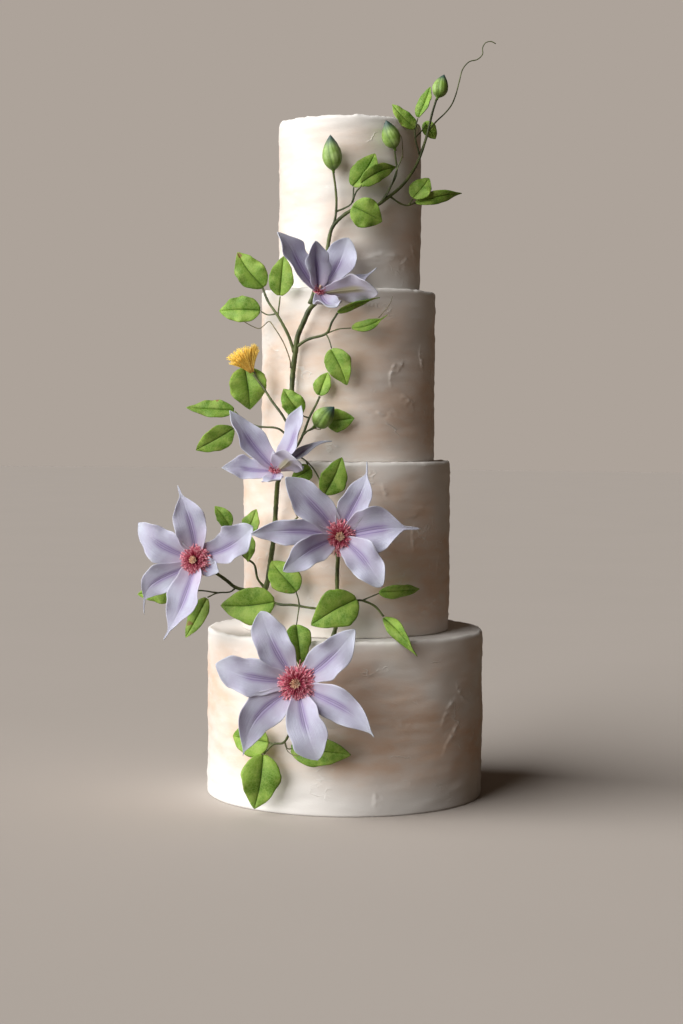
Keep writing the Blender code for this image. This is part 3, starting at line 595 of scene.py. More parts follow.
def stem_finish():
    finish = Finish("stem_wire_tape", 0.55)
    cloud = finish.noise(finish.spot(), 55.0, 4.0, 0.65)
    colour = finish.mix(finish.ease(cloud, 0.35, 0.68), (0.040, 0.055, 0.014), (0.135, 0.165,
                                                                                0.045))
    bark = finish.noise(finish.spot((1.0, 1.0, 0.4)), 420.0, 3.0, 0.6)
    colour = finish.tint(colour, finish.ease(bark, 0.55, 0.8), (0.12, 0.09, 0.04), 0.4)
    return finish.done(colour, finish.bump(bark, 0.4 * MM, 0.6))


def tendril_finish():
    finish = Finish("tendril", 0.6)
    cloud = finish.noise(finish.spot(), 90.0, 3.0, 0.6)
    colour = finish.mix(finish.ease(cloud, 0.35, 0.65), (0.12, 0.11, 0.05), (0.26, 0.22, 0.10))
    return finish.done(colour, finish.bump(cloud, 0.3 * MM, 0.5))


def bud_finish():
    """Pale green bud, greener at the foot, with an inky blue tip and painted shade in the seams."""
    finish = Finish("bud", 0.5)
    along = finish.attribute("along")
    ridge = finish.attribute("side")
    cloud = finish.noise(finish.spot(), 110.0, 3.0, 0.6)
    colour = finish.mix(finish.ease(cloud, 0.35, 0.7), (0.20, 0.34, 0.05), (0.40, 0.56, 0.19))
    colour = finish.mix(finish.ease(along, 0.22, 0.0), colour, (0.13, 0.24, 0.03))
    # Painted shade: darker in the sunk seams between the sepals.
    seam = finish.times(finish.ease(ridge, 0.35, 0.0), 0.7)
    colour = finish.mix(seam, colour, (0.08, 0.15, 0.03))
    colour = finish.tint(colour, finish.ease(along, 0.55, 0.92), (0.035, 0.075, 0.085), 0.93)
    return finish.done(colour, finish.bump(cloud, 0.3 * MM, 0.5))


def stamen_finish():
    """Filaments that pass from a burgundy root through pink to a cream tip."""
    finish = Finish("stamens", 0.55)
    along = finish.attribute("along")
    shade = finish.attribute("side")
    colour = finish.mix(finish.ease(along, 0.1, 0.6), (0.10, 0.003, 0.012), (0.66, 0.06, 0.14))
    colour = finish.mix(finish.ease(along, 0.5, 0.9), colour, (0.88, 0.24, 0.34))
    colour = finish.tint(colour, finish.ease(along, 0.9, 1.0), (0.96, 0.64, 0.64), 0.55)
    colour = finish.mix(shade, colour, (0.34, 0.02, 0.06))
    return finish.done(colour)


def stigma_finish():
    finish = Finish("stigma", 0.5)
    along = finish.attribute("along")
    colour = finish.mix(finish.ease(along, 0.2, 1.0), (0.70, 0.16, 0.14), (0.97, 0.74, 0.52))
    return finish.done(colour)


def seed_finish():
    """Dry tuft, orange at the root and straw yellow at the ends."""
    finish = Finish("seed_tuft", 0.65)
    along = finish.attribute("along")
    shade = finish.attribute("side")
    colour = finish.mix(finish.ease(along, 0.05, 0.7), (0.66, 0.30, 0.03), (0.92, 0.60, 0.08))
    colour = finish.tint(colour, shade, (0.95, 0.76, 0.22), 0.6)
    return finish.done(colour)


def hub_finish():
    finish = Finish("flower_hub", 0.6)
    cloud = finish.noise(finish.spot(), 200.0, 3.0, 0.6)
    colour = finish.mix(cloud, (0.14, 0.20, 0.05), (0.30, 0.36, 0.14))
    return finish.done(colour, finish.bump(cloud, 0.3 * MM, 0.5))


# Tiers


@dataclass
class Swipe:
    """Ridge that the spatula's edge leaves along an arc of the unrolled side, in millimetres."""

    azimuth: float
    height: float
    bend: float
    start: float
    sweep: float
    rise: float
    width: float


# Swipes on the seen side: tier, then a swipe's values. Azimuth is from the front, towards +X.
SEEN_SWIPES = (
    (0, (46, 92, 34, 100, 75, 1.0, 1.3)),
    (0, (55, 98, 28, 190, 80, 1.0, 1.1)),
    (0, (62, 118, 60, 250, 35, 0.8, 1.2)),
    (0, (70, 94, 22, 60, 70, 0.9, 1.1)),
    (0, (48, 66, 70, 120, 38, 1.0, 1.2)),
    (0, (66, 62, 40, 300, 60, 0.8, 1.1)),
    (0, (22, 80, 26, 200, 60, 0.5, 1.6)),
    (0, (12, 16, 30, 150, 50, 0.8, 1.6)),
    (0, (72, 20, 60, 160, 30, 0.7, 1.3)),
    (0, (-50, 138, 24, 170, 30, 0.8, 1.4)),
    (0, (-42, 136, 30, 165, 26, 0.6, 1.2)),
    (1, (38, 240, 40, 160, 40, 0.9, 1.4)),
    (1, (60, 215, 26, 140, 45, 0.8, 1.2)),
    (1, (52, 180, 60, 100, 40, 0.9, 1.5)),
    (1, (20, 282, 40, 190, 26, 0.8, 1.1)),
    (1, (42, 262, 44, 280, 40, 0.7, 1.3)),
    (2, (28, 386, 16, 120, 95, 1.2, 1.2)),
    (2, (36, 392, 14, 290, 70, 1.0, 1.1)),
    (2, (54, 400, 20, 150, 80, 1.0, 1.2)),
    (2, (24, 352, 46, 75, 42, 1.1, 1.3)),
    (2, (44, 362, 24, 20, 60, 0.9, 1.2)),
    (2, (62, 330, 26, 100, 50, 0.7, 1.3)),
    (3, (26, 492, 50, 70, 55, 1.0, 1.8)),
    (3, (48, 486, 40, 110, 50, 0.9, 1.4)),
    (3, (40, 478, 26, 250, 60, 0.8, 1.3)),
    (3, (60, 500, 30, 160, 60, 0.8, 1.4)),
    (3, (18, 560, 40, 200, 40, 0.6, 1.8)),
    (3, (-10, 570, 30, 300, 50, 0.6, 1.6)),
)
HIDDEN_SWIPES = 26  # on the rest of each tier


def swipes_of(number):
    """The tier's swipes, the hidden ones drawn from a fixed seed."""
    swipes = [Swipe(*values) for tier, values in SEEN_SWIPES if tier == number]
    dice = random.Random(31 + number)
    base = TIER_TOPS[number - 1] if number else 0.0
    for _ in range(HIDDEN_SWIPES):
        swipes.append(Swipe(dice.uniform(78, 325), dice.uniform(base + 8, TIER_TOPS[number] - 10),
                            dice.uniform(14, 70), dice.uniform(0, 360), dice.uniform(25, 85),
                            dice.uniform(0.4, 1.0), dice.uniform(1.1, 1.9)))
    return swipes


def swipe_relief(swipe, around, height, radius):
    """Ridge height at places on the side, in millimetres. around is in degrees."""
    apart = (around - swipe.azimuth + 180) % 360 - 180
    flat_x = np.radians(apart) * radius
    flat_z = height - swipe.height
    middle = math.radians(swipe.start + swipe.sweep / 2)
    flat_x = flat_x + swipe.bend * math.cos(middle)
    flat_z = flat_z + swipe.bend * math.sin(middle)
    reach = np.hypot(flat_x, flat_z) - swipe.bend
    turn = (np.degrees(np.arctan2(flat_z, flat_x)) - math.degrees(middle) + 180) % 360 - 180
    share = np.clip(1 - np.abs(turn) / (swipe.sweep / 2), 0, 1)
    fade = share * (2 - share)
    crest = np.where(reach > 0, np.exp(-((reach / swipe.width) ** 2)),
                     np.exp(-((reach / (4 * swipe.width)) ** 2)) * 0.75
                     + 0.25 * np.exp(-((reach / swipe.width) ** 2)))
    return swipe.rise * fade * crest


def wobble(around, height, number):
    """Slow unevenness that the solid has too, in millimetres. around is in radians."""
    slow = np.sin(3 * around + 1.7 * number + 0.03 * height)
    quick = np.sin(7 * around - 0.9 * number - 0.05 * height)
    return HAND_WOBBLE * (0.7 * slow + 0.3 * quick)


def tier_profile(radius, base, top, rows):
    """(radius, height) points of a tier, bottom to top, close together on the side."""
    points = [(0, base), (radius * 0.5, base), (radius - 4, base), (radius - 0.8, base),
              (radius, base + 0.8)]
    points += [(radius, base + 0.8 + (top - RIM_ROUND - base - 0.8) * row / rows)
               for row in range(1, rows + 1)]
    for step in range(1, 7):
        turn = math.pi / 2 * step / 6
        points.append((radius - RIM_ROUND * (1 - math.cos(turn)),
                       top - RIM_ROUND + (RIM_ROUND + 0.6) * math.sin(turn)))
    inner = radius - RIM_ROUND - 2
    points += [(inner * (1 - row / 18), top) for row in range(18)]
    points.append((0, top))
    return points


def lumps_at(spots, wide, tall, shift):
    """Noise at each place, with lumps of a width and height in millimetres."""
    return np.array([noise.noise(Vector((x / wide, y / wide, z / tall + shift)))
                     for x, y, z in spots])


def relief(look, number, spots):
    """Moved places of a tier's vertices and the ridge height there, all in millimetres."""
    radius = TIER_RADII[number]
    base = TIER_TOPS[number - 1] + TIER_GAP if number else 0.0
    top = TIER_TOPS[number]
    across, depth, height = spots.T
    reach = np.hypot(across, depth)
    around = np.arctan2(depth, across)
    azimuth = np.degrees(around) + 90
    slow = lumps_at(spots, 42, 30, 7 * number)
    strokes = lumps_at(spots, 26, 7, 3 * number)
    rise = look.unevenness / MM * slow + 0.5 * strokes
    ridge = np.zeros(len(spots))
    for swipe in swipes_of(number):
        ridge = np.maximum(ridge, swipe_relief(swipe, azimuth, height, radius))
    torn = lumps_at(spots, 6, 3, 11 * number)
    ridge *= look.ridge / MM * np.clip(0.8 + 1.5 * torn, 0.1, 1.5)
    side = np.clip((reach - (radius - 6)) / 5, 0, 1)
    foot = np.clip((height - base) / 5, 0, 1)
    push = (wobble(around, height, number) + (rise + ridge) * foot) * side
    moved = spots.copy()
    moved[:, 0] += np.cos(around) * push
    moved[:, 1] += np.sin(around) * push
    lip = lumps_at(spots, 11, math.inf, 5.0 + number)
    lumps = lumps_at(spots, 4, math.inf, 9.0 + number)
    rough = RIM_ROUGHNESS[number]
    at_rim = np.clip(1 - np.abs(reach - (radius - 2.0)) / 4.5, 0, 1) * (height > top - 4)
    moved[:, 2] += at_rim * rough * (1.4 * lip + 0.7 * lumps)
    on_top = (height > top - 0.2) * np.clip((radius - 5 - reach) / 6, 0, 1)
    sweep = np.sin(reach / 5.5 + 2.2 * around + 3 * slow)
    moved[:, 2] += on_top * (0.45 * slow + 0.25 * strokes + 0.22 * sweep)
    moved[:, 2] = np.where(height < base + 0.1, height, moved[:, 2])
    return moved, ridge * side


def spread_tier(look, number):
    name = TIER_NAMES[number]
    radius = TIER_RADII[number]
    base = TIER_TOPS[number - 1] + TIER_GAP if number else 0.0
    profile = tier_profile(radius, base, TIER_TOPS[number], SIDE_ROWS[number])
    bm = turned([(r * MM, z * MM) for r, z in profile], SIDE_STEPS[number])
    mesh = mesh_from(bm, f"buttercream_tier_{name}")
    spots = np.empty(len(mesh.vertices) * 3)
    mesh.vertices.foreach_get("co", spots)
    moved, ridge = relief(look, number, spots.reshape(-1, 3) / MM)
    moved *= MM
    mesh.vertices.foreach_set("co", moved.ravel())
    crest = mesh.attributes.new("ridge", "FLOAT", "POINT")
    crest.data.foreach_set("value", ridge.astype(np.float32))
    mesh.update()
    finished(f"buttercream_tier_{name}", mesh, [buttercream(look, number)],
             [f"tier_{name}"])


# Petals and leaves


@dataclass
class Blade:
    """A petal or leaf, in metres and degrees."""

    base: Vector
    tip: Vector
    facing: Vector
    width: float
    roll: float
    twist: float
    arch: float
    bow: float
    late: float
    outline: tuple
    body: float
    fold: float
    crease: float
    frill: float
    ripple: float
    ripples: float
    phase: float
    grooves: tuple
    curl: float


TAIL_WIDTH = 0.075  # half width of a petal's tail, per width
PETAL_CELLS = (26, 30)  # of mesh across and along
LEAF_CELLS = (24, 30)
PETAL_CROWD = 1.5  # how the cells crowd towards the middle; 1 is even
LEAF_CROWD = 1.3
# Grooves: offset from the middle, depth, width, and the share of the length where each ends
PETAL_GROOVES = ((0.0, 0.5 * MM, 0.5 * MM, 0.75), (1.6 * MM, 0.35 * MM, 0.45 * MM, 0.65))
LEAF_GROOVES = ((0.0, 0.7 * MM, 0.55 * MM, 0.98),)
LEAF_OUTLINE = (0.62, 0.95, 0.015)
HUB_PROFILE = ((0, -4.0), (1.6, -4.0), (2.4, -3.2), (3.2, -1.8), (4.3, -0.4), (4.2, 0.6),
               (3.0, 1.1), (0, 1.3))


def outline(along, shape):
    """Half width of a blade, 0 to 1, at a share of its length."""
    rise, fall, foot = shape
    widest = (rise - fall * foot) / (rise + fall)
    most = (widest + foot) ** rise * (1 - widest) ** fall
    return (along + foot) ** rise * max(0.0, 1 - along) ** fall / most


def half_width(blade, side, along):
    """Half width of a blade on one side, uneven along its edge and with its tail."""
    half = outline(min(1.0, along / blade.body), blade.outline) / 2
    if blade.body < 1.0 and along > 0.5:
        half = (half ** 3 + (TAIL_WIDTH * (1 - along) ** 0.35) ** 3) ** (1 / 3)
    uneven = noise.noise(Vector((along * 4.2, blade.phase * 3, 4.0 if side > 0 else 8.0)))
    uneven += 0.25 * noise.noise(Vector((along * 11, blade.phase * 3, 14.0 if side > 0 else 18.0)))
    return blade.width * half * (1 + blade.frill * uneven)


def spot_on(blade, side, along):
    """Place on a blade, side being -1 to 1 from edge to edge."""
    axis = blade.tip - blade.base
    length = axis.length
    axis.normalize()
    normal = (blade.facing - axis * blade.facing.dot(axis)).normalized()
    up = Matrix.Rotation(math.radians(blade.roll + blade.twist * (along - 0.5)), 3, axis) @ normal
    half = half_width(blade, side, along)
    edge = abs(side)
    wave = math.sin(math.tau * blade.ripples * along + blade.phase + 1.9 * (side > 0))
    hollow = (1 - blade.crease) * edge ** 2 + blade.crease * (1.6 * edge - edge ** 2)
    lift = blade.fold * half * hollow * (1.25 - 0.6 * along)
    lift += blade.ripple * half * 2 * edge ** 2.2 * wave * min(1.0, 1.7 * along)
    for offset, depth, width, end in blade.grooves:
        gone = max(0.0, min(1.0, (end - along) / 0.2))
        lift -= depth * gone * math.exp(-((edge * half - offset) / width) ** 2)
    bend = normal * (blade.arch * math.sin(math.pi * along) + blade.curl * max(0.0, along - 0.6) ** 2)
    bend += axis.cross(normal) * blade.bow * math.sin(math.pi * along ** blade.late)
    middle = blade.base + axis * length * along + bend * length
    return middle + axis.cross(up) * side * half + up * lift


def add_blade(bm, blade, cells, crowd):
    """Sheet of a blade, its cells crowded towards the middle, with its own coordinates kept."""
    side_layer = layer(bm, "side")
    along_layer = layer(bm, "along")
    made = bmesh.ops.create_grid(bm, x_segments=cells[0], y_segments=cells[1], size=1.0)["verts"]
    for vert in made:
        side = math.copysign(abs(vert.co.x) ** crowd, vert.co.x)
        along = (vert.co.y + 1) / 2
        vert[side_layer] = side
        vert[along_layer] = along
        vert.co = spot_on(blade, side, along)
    bmesh.ops.remove_doubles(bm, verts=made, dist=2e-6)


def thicken(piece, thickness, levels):
    wall = piece.modifiers.new("thickness", "SOLIDIFY")
    wall.thickness = thickness
    wall.offset = 0.0
    wall.material_offset = 1 if len(piece.data.materials) > 1 else 0
    if levels:
        soft = piece.modifiers.new("soft_edge", "SUBSURF")
        soft.levels = levels
        soft.render_levels = levels


def flower_frame(flower):
    """Centre, facing direction, and the twelve o'clock and three o'clock directions."""
    centre = place(flower["centre"])
    face = place(flower["face"]).normalized()
    twelve = (Vector((0, 0, 1)) - face * face.z).normalized()
    return centre, face, twelve, twelve.cross(face)


def petals_of(flower, dice):
    """Blades of a flower's petals."""
    centre, face, twelve, three = flower_frame(flower)
    for clock, lift, length, width, roll, arch, bow, late, point, body, *folded in flower["petals"]:
        turn = math.radians(clock)
        rise = math.radians(lift)
        outward = twelve * math.cos(turn) + three * math.sin(turn)
        direction = outward * math.cos(rise) + face * math.sin(rise)
        inward = face * math.cos(rise) - outward * math.sin(rise)
        yield Blade(base=centre + direction * PETAL_SEAT * MM, tip=centre + direction * length * MM,
                    facing=inward, width=width * MM, roll=roll, twist=dice.uniform(-24, 24),
                    arch=arch, bow=bow, late=late, outline=(1.25, point, 0.13), body=body,
                    fold=folded[0] if folded else dice.uniform(0.15, 0.45),
                    crease=0.9 if folded else 0.2, frill=dice.uniform(0.2, 0.34),
                    ripple=dice.uniform(0.07, 0.14), ripples=dice.uniform(1.4, 2.6),
                    phase=dice.uniform(0, math.tau), grooves=PETAL_GROOVES,
                    curl=dice.uniform(-1.1, 0.7))


def shape_flower(look, name, flower, front, back, hub):
    dice = random.Random(name)
    bm = bmesh.new()
    for blade in petals_of(flower, dice):
        add_blade(bm, blade, PETAL_CELLS, PETAL_CROWD)
    mesh = mesh_from(bm, f"clematis_{name}")
    piece = finished(f"clematis_{name}", mesh, [front, back], [f"petals_{name}"])
    thicken(piece, look.petal_thickness, 1)
    centre, face, twelve, _ = flower_frame(flower)
    bm = turned([(r * MM, z * MM) for r, z in HUB_PROFILE], 24)
    stand(bm, centre, face, twelve)
    finished(f"hub_{name}", mesh_from(bm, f"hub_{name}"), [hub])


def leaf_blade(leaf, dice):
    base, tip, width, roll, twist, arch, *drawn = leaf
    start = place(base)
    end = place(tip)
    start -= (end - start).normalized() * LEAF_FOOT * MM
    bow, body = drawn or (dice.uniform(-0.05, 0.05), 1.0)
    return Blade(base=start, tip=end, facing=place((0, 1, 0)).normalized(), width=width * MM,
                 roll=roll, twist=twist, arch=arch, bow=bow, late=1.0,
                 outline=LEAF_OUTLINE, body=body, fold=dice.uniform(0.15, 0.4), crease=1.0,
                 frill=0.14, ripple=dice.uniform(0.05, 0.1), ripples=dice.uniform(1.4, 2.6),
                 phase=dice.uniform(0, math.tau), grooves=LEAF_GROOVES,
                 curl=dice.uniform(-0.7, 0.6))


# Threads: stamens and the seed tuft

GOLDEN_ANGLE = math.pi * (3 - math.sqrt(5))
SEED_THREADS = 420


def thread_mesh(knob):
    """Unit thread from 0 to 1 along Z, five-sided, with a knob at its end."""
    bm = bmesh.new()
    bmesh.ops.create_cone(bm, cap_ends=True, segments=5, radius1=1.0, radius2=0.7, depth=1.0)
    long_edges = [edge for edge in bm.edges if abs(edge.verts[0].co.z - edge.verts[1].co.z) > 0.5]
    bmesh.ops.subdivide_edges(bm, edges=long_edges, cuts=4)
    bmesh.ops.translate(bm, verts=bm.verts, vec=(0, 0, 0.5))
    if knob:
        head = bmesh.ops.create_icosphere(bm, subdivisions=1, radius=1.0)["verts"]
        bmesh.ops.scale(bm, verts=head, vec=(knob, knob, 0.09))
        bmesh.ops.translate(bm, verts=head, vec=(0, 0, 1.0))
    return mesh_from(bm, "thread")


def add_thread(bm, thread, start, middle, end, radius, shade):
    """Copy of the unit thread bent along a curve from start past middle to end."""
    along_layer = layer(bm, "along")
    side_layer = layer(bm, "side")
    before = len(bm.verts)
    bm.from_mesh(thread)
    bm.verts.ensure_lookup_table()
    for vert in bm.verts[before:]:
        share = vert.co.z
        t = min(1.0, max(0.0, share))
        spine = start * (1 - t) ** 2 + middle * 2 * t * (1 - t) + end * t ** 2
        heading = ((middle - start) * (1 - t) + (end - middle) * t).normalized()
        sideways = Vector((0.31, 0.17, 0.93)) if abs(heading.z) < 0.8 else Vector((0.93, 0.3, 0.1))
        turn = frame_along(heading, sideways)
        spine += heading * (share - t) * (end - start).length
        vert[along_layer] = t
        vert[side_layer] = shade
        vert.co = spine + turn @ Vector((vert.co.x, vert.co.y, 0)) * radius


def fill_flower(look, name, flower, threads, finishes):
    """Burst of stamens round a small cream stigma."""
    dice = random.Random(f"stamens_{name}")
    centre, face, twelve, three = flower_frame(flower)
    radius, height = (size * MM for size in flower["boss"])
    count = look.stamens if radius > 10 * MM else look.stamens // 3
    thread, plain = threads
    bm = bmesh.new()
    for number in range(count):
        share = math.sqrt((number + 0.5) / count)
        turn = number * GOLDEN_ANGLE + dice.uniform(-0.15, 0.15)
        outward = twelve * math.cos(turn) + three * math.sin(turn)
        lean = math.radians(24 + 56 * share + dice.uniform(-7, 7))
        long = (height + (radius - height) * share ** 2) * dice.uniform(0.86, 1.12)
        root = centre + outward * (0.8 + 2.2 * share) * MM + face * 1.0 * MM
        middle = root + (outward * math.sin(lean * 0.6) + face * math.cos(lean * 0.6)) * long * 0.5
        end = centre + (outward * math.sin(lean) + face * math.cos(lean)) * long
        end += Vector(dice.uniform(-0.6, 0.6) * MM for _ in range(3))
        inner = max(0.0, 0.75 - share) + 0.5 * dice.random() ** 2
        add_thread(bm, thread, root, middle, end, dice.uniform(0.32, 0.44) * MM, inner)
    finished(f"stamens_{name}_burst", mesh_from(bm, f"stamens_{name}_burst"), [finishes[0]],
             [f"stamens_{name}"])
    bm = bmesh.new()
    styles = max(7, count // 12)
    for number in range(styles):
        share = math.sqrt((number + 0.5) / styles)
        turn = number * GOLDEN_ANGLE
        outward = twelve * math.cos(turn) + three * math.sin(turn)
        root = centre + outward * 0.4 * MM + face * 1.0 * MM
        end = centre + outward * share * 0.24 * radius + face * height * dice.uniform(0.78, 1.02)
        add_thread(bm, plain, root, (root + end * 2) / 3, end, 0.3 * MM, 0.0)
    finished(f"stigma_{name}", mesh_from(bm, f"stigma_{name}"), [finishes[1]])


def tease_seed_head(thread):
    """Flat fan of dry threads, spreading from the stalk."""
    base, tip, spread, thick = SEED_HEAD
    dice = random.Random(5)
    start = place(base)
    axis = place(tip) - start
    turn = frame_along(axis, Vector((1, 0, 0)))
    bm = bmesh.new()
    for _ in range(SEED_THREADS):
        wide = dice.uniform(-1, 1)
        deep = dice.uniform(-1, 1) * math.sqrt(1 - wide * wide * 0.7)
        long = axis.length * dice.uniform(0.72, 1.1) * (1 - 0.12 * wide * wide)
        root = start + turn @ Vector((wide * 1.6, deep * 1.2, 0)) * MM
        end = start + turn @ Vector((wide * spread * MM, deep * thick * 0.8 * MM, long))
        middle = start + turn @ Vector((wide * spread * 0.42 * MM, deep * thick * 0.3 * MM, long * 0.55))
        end += Vector(dice.uniform(-0.7, 0.7) * MM for _ in range(3))
        add_thread(bm, thread, root, middle, end, dice.uniform(0.22, 0.34) * MM, dice.random())
    finished("seed_tuft", mesh_from(bm, "seed_tuft"), [seed_finish()], ["seed_head"])


# Buds


def roll_bud(number, base, tip, thickness, material):
    """Bud of four closed sepals with raised backs and sunk seams, slightly twisted, on a neck."""
    start = place(base)
    axis = place(tip) - start
    widest = thickness / 2 * MM
    rows = 30
    shape = (0.62, 1.0, 0.0)
    neck = BUD_NECK * MM
    profile = [(0.0, -2.4 * MM), (neck, -2.4 * MM), (neck, -0.8 * MM), (neck * 1.3, 0.0)]
    for row in range(1, rows):
        share = row / rows
        profile.append((max(neck * 1.3 * (1 - share), widest * outline(share, shape)),
                        share * axis.length))
    profile.append((0.0, axis.length))
    bm = turned(profile, 48)
    along_layer = layer(bm, "along")
    side_layer = layer(bm, "side")
    for vert in bm.verts:
        share = max(0.0, vert.co.z / axis.length)
        reach = math.hypot(vert.co.x, vert.co.y)
        around = math.atan2(vert.co.y, vert.co.x) + 0.7 * share
        back = abs(math.sin(2 * around))
        vert[along_layer] = share
        vert[side_layer] = back
        if reach > 1e-6:
            swell = 1 + 0.16 * (back ** 0.6 - 0.75) + 0.03 * math.cos(16 * around)
            vert.co.x *= swell
            vert.co.y *= swell
    stand(bm, start, axis, Vector((1, 0, 0)))
    name = f"clematis_bud_{number}"
    finished(name, mesh_from(bm, name), [material], [f"bud_{number}"])


# Stems


FOOT_AWAY = (9.3, 3.6)  # places under a flower that its stem passes, mm
STEM_STEP = 2.2  # between points of a stem, mm
COLLAR_RISE = 0.35  # where a stem leaves its parent
COLLAR_LENGTH = 3.0
KNOT_RISE = 0.09


def smooth_route(spots, step):
    """Points about one step apart on a Catmull-Rom curve through the spots."""
    points = [spots[0] * 2 - spots[1], *spots, spots[-1] * 2 - spots[-2]]
    route = [spots[0]]
    for a, b, c, d in zip(points, points[1:], points[2:], points[3:]):
        count = max(1, round((c - b).length / step))
        for part in range(1, count + 1):
            t = part / count
            bend = (2 * a - 5 * b + 4 * c - d) * t * t + (3 * b - a - 3 * c + d) * t ** 3
            route.append((2 * b + (c - a) * t + bend) / 2)
    return route


def flower_foot(flower):
    """The stem's last places: straight up to the underside of the flower's hub."""
    centre, face, _, _ = flower_frame(flower)
    return [centre - face * away * MM for away in FOOT_AWAY]


def stem_mesh(start_radius, end_radius, spots, dice):
    """Round tapered tube with a thicker collar where it leaves its parent."""
    route = smooth_route(spots, STEM_STEP * MM)
    curve = bpy.data.curves.new("stem", "CURVE")
    curve.dimensions = "3D"
    curve.bevel_depth = MM
    curve.bevel_resolution = 3
    curve.use_fill_caps = True
    spline = curve.splines.new("POLY")
    spline.points.add(len(route) - 1)
    length = 0.0
    for number, (point, spot) in enumerate(zip(spline.points, route)):
        share = number / (len(route) - 1)
        length += (spot - route[number - 1]).length if number else 0.0
        collar = COLLAR_RISE * math.exp(-((length / (COLLAR_LENGTH * MM)) ** 2))
        knot = KNOT_RISE * dice.uniform(-1, 1)
        point.co = (*spot, 1.0)
        taper = start_radius + (end_radius - start_radius) * share
        point.radius = WIRE_SHARE * taper * (1 + collar + knot)
    tube = bpy.data.objects.new("stem_path", curve)
    mesh = bpy.data.meshes.new_from_object(tube)
    bpy.data.objects.remove(tube)
    return mesh


def wire(name, stems, material, nodes, seed):
    """One piece from several stems."""
    dice = random.Random(seed)
    bm = bmesh.new()
    for start_radius, end_radius, places in stems:
        spots = []
        for spot in places:
            spots += flower_foot(FLOWERS[spot]) if isinstance(spot, str) else [place(spot)]
        bm.from_mesh(stem_mesh(start_radius, end_radius, spots, dice))
    bmesh.ops.remove_doubles(bm, verts=bm.verts, dist=1e-7)
    bmesh.ops.recalc_face_normals(bm, faces=bm.faces)
    return finished(name, mesh_from(bm, name), [material], nodes)


# Stage

CAMERA_LENS = 70.16
CAMERA_PLACE = (-0.00485, -1.8443, 0.3455)
CAMERA_DIP = 2.676  # degrees below level
CAMERA_ROLL = 0.569
GLOW = (1.0, 0.72, 0.52, 1.0)
GLOW_STRENGTH = 0.042
BACKDROP = (0.418, 0.366, 0.323, 1.0)
WINDOW_PLACE = (-3.0, -1.6, 1.9)
WINDOW_TARGET = (0, 0, 0.3)
WINDOW_STRENGTH = 5.4
WINDOW_COLOUR = (1.0, 0.99, 0.975)
WINDOW_SPREAD = 75  # degrees


def add_window():
    """Wide soft light from the left, as from a big window."""
    light = bpy.data.lights.new("window", "SUN")
    light.energy = WINDOW_STRENGTH
    light.color = WINDOW_COLOUR
    light.angle = math.radians(WINDOW_SPREAD)
    lamp = bpy.data.objects.new("window", light)
    bpy.context.scene.collection.objects.link(lamp)
    lamp.location = WINDOW_PLACE
    heading = Vector(WINDOW_TARGET) - lamp.location
    lamp.rotation_euler = heading.to_track_quat("-Z", "Y").to_euler()


def add_floor():
    """Pale floor that throws only a little warm light back, so that the far side stays deep."""
    bm = bmesh.new()
    bmesh.ops.create_circle(bm, cap_ends=True, segments=96, radius=12.0)
    floor = bpy.data.objects.new("floor", mesh_from(bm, "floor"))
    finish = Finish("floor_paper", 0.8)
    cloud = finish.noise(finish.spot(), 3.0, 2.0, 0.5)
    colour = finish.mix(cloud, (0.52, 0.47, 0.425), (0.545, 0.49, 0.445))
    seen = finish.add("LightPath", {}).outputs["Is Camera Ray"]
    colour = finish.mix(seen, (0.18, 0.135, 0.10), colour)
    floor.data.materials.append(finish.done(colour))
    bpy.context.scene.collection.objects.link(floor)


def set_world():
    """Low warm light from all round, and a plain backdrop of the floor's tone."""
    world = bpy.data.worlds.new("studio")
    bpy.context.scene.world = world
    world.use_nodes = True
    tree = world.node_tree
    glow = tree.nodes["Background"]
    glow.inputs["Color"].default_value = GLOW
    glow.inputs["Strength"].default_value = GLOW_STRENGTH
    backdrop = tree.nodes.new("ShaderNodeBackground")
    backdrop.inputs["Color"].default_value = BACKDROP
    backdrop.inputs["Strength"].default_value = 1.0
    seen = tree.nodes.new("ShaderNodeLightPath")
    choice = tree.nodes.new("ShaderNodeMixShader")
    tree.links.new(seen.outputs["Is Camera Ray"], choice.inputs[0])
    tree.links.new(glow.outputs[0], choice.inputs[1])
    tree.links.new(backdrop.outputs[0], choice.inputs[2])
    tree.links.new(choice.outputs[0], tree.nodes["World Output"].inputs["Surface"])


def add_camera():
    """Camera a little above the middle of the cake, looking slightly down."""
    camera = bpy.data.cameras.new("camera")
    camera.lens = CAMERA_LENS
    camera.sensor_width = 36.0
    camera.clip_end = 50.0
    eye = bpy.data.objects.new("camera", camera)
    bpy.context.scene.collection.objects.link(eye)
    eye.location = CAMERA_PLACE
    tilt = Matrix.Rotation(math.radians(90 - CAMERA_DIP), 4, "X")
    roll = Matrix.Rotation(math.radians(CAMERA_ROLL), 4, "Z")
    eye.rotation_euler = (tilt @ roll).to_euler()
    bpy.context.scene.camera = eye


# Operators


class CakeOperator(bpy.types.Operator):
    """Shared base of the cake's operators."""

    bl_options = {"REGISTER", "UNDO"}

    @property
    def look(self):
        return bpy.context.scene.cake_look


class CAKE_OT_spread_tiers(CakeOperator):
    """Spread the buttercream over the four tiers."""

    bl_idname = "cake.spread_tiers"
    bl_label = "Spread tiers"

    def execute(self, context):
        for number in range(len(TIER_NAMES)):
            spread_tier(self.look, number)
        return {"FINISHED"}


class CAKE_OT_shape_flowers(CakeOperator):
    """Shape the petals of the five clematis flowers."""

    bl_idname = "cake.shape_flowers"
    bl_label = "Shape flowers"

    def execute(self, context):
        front = petal_finish(self.look, "petal_face", False)
        back = petal_finish(self.look, "petal_back", True)
        hub = hub_finish()
        for name, flower in FLOWERS.items():
            shape_flower(self.look, name, flower, front, back, hub)
        return {"FINISHED"}


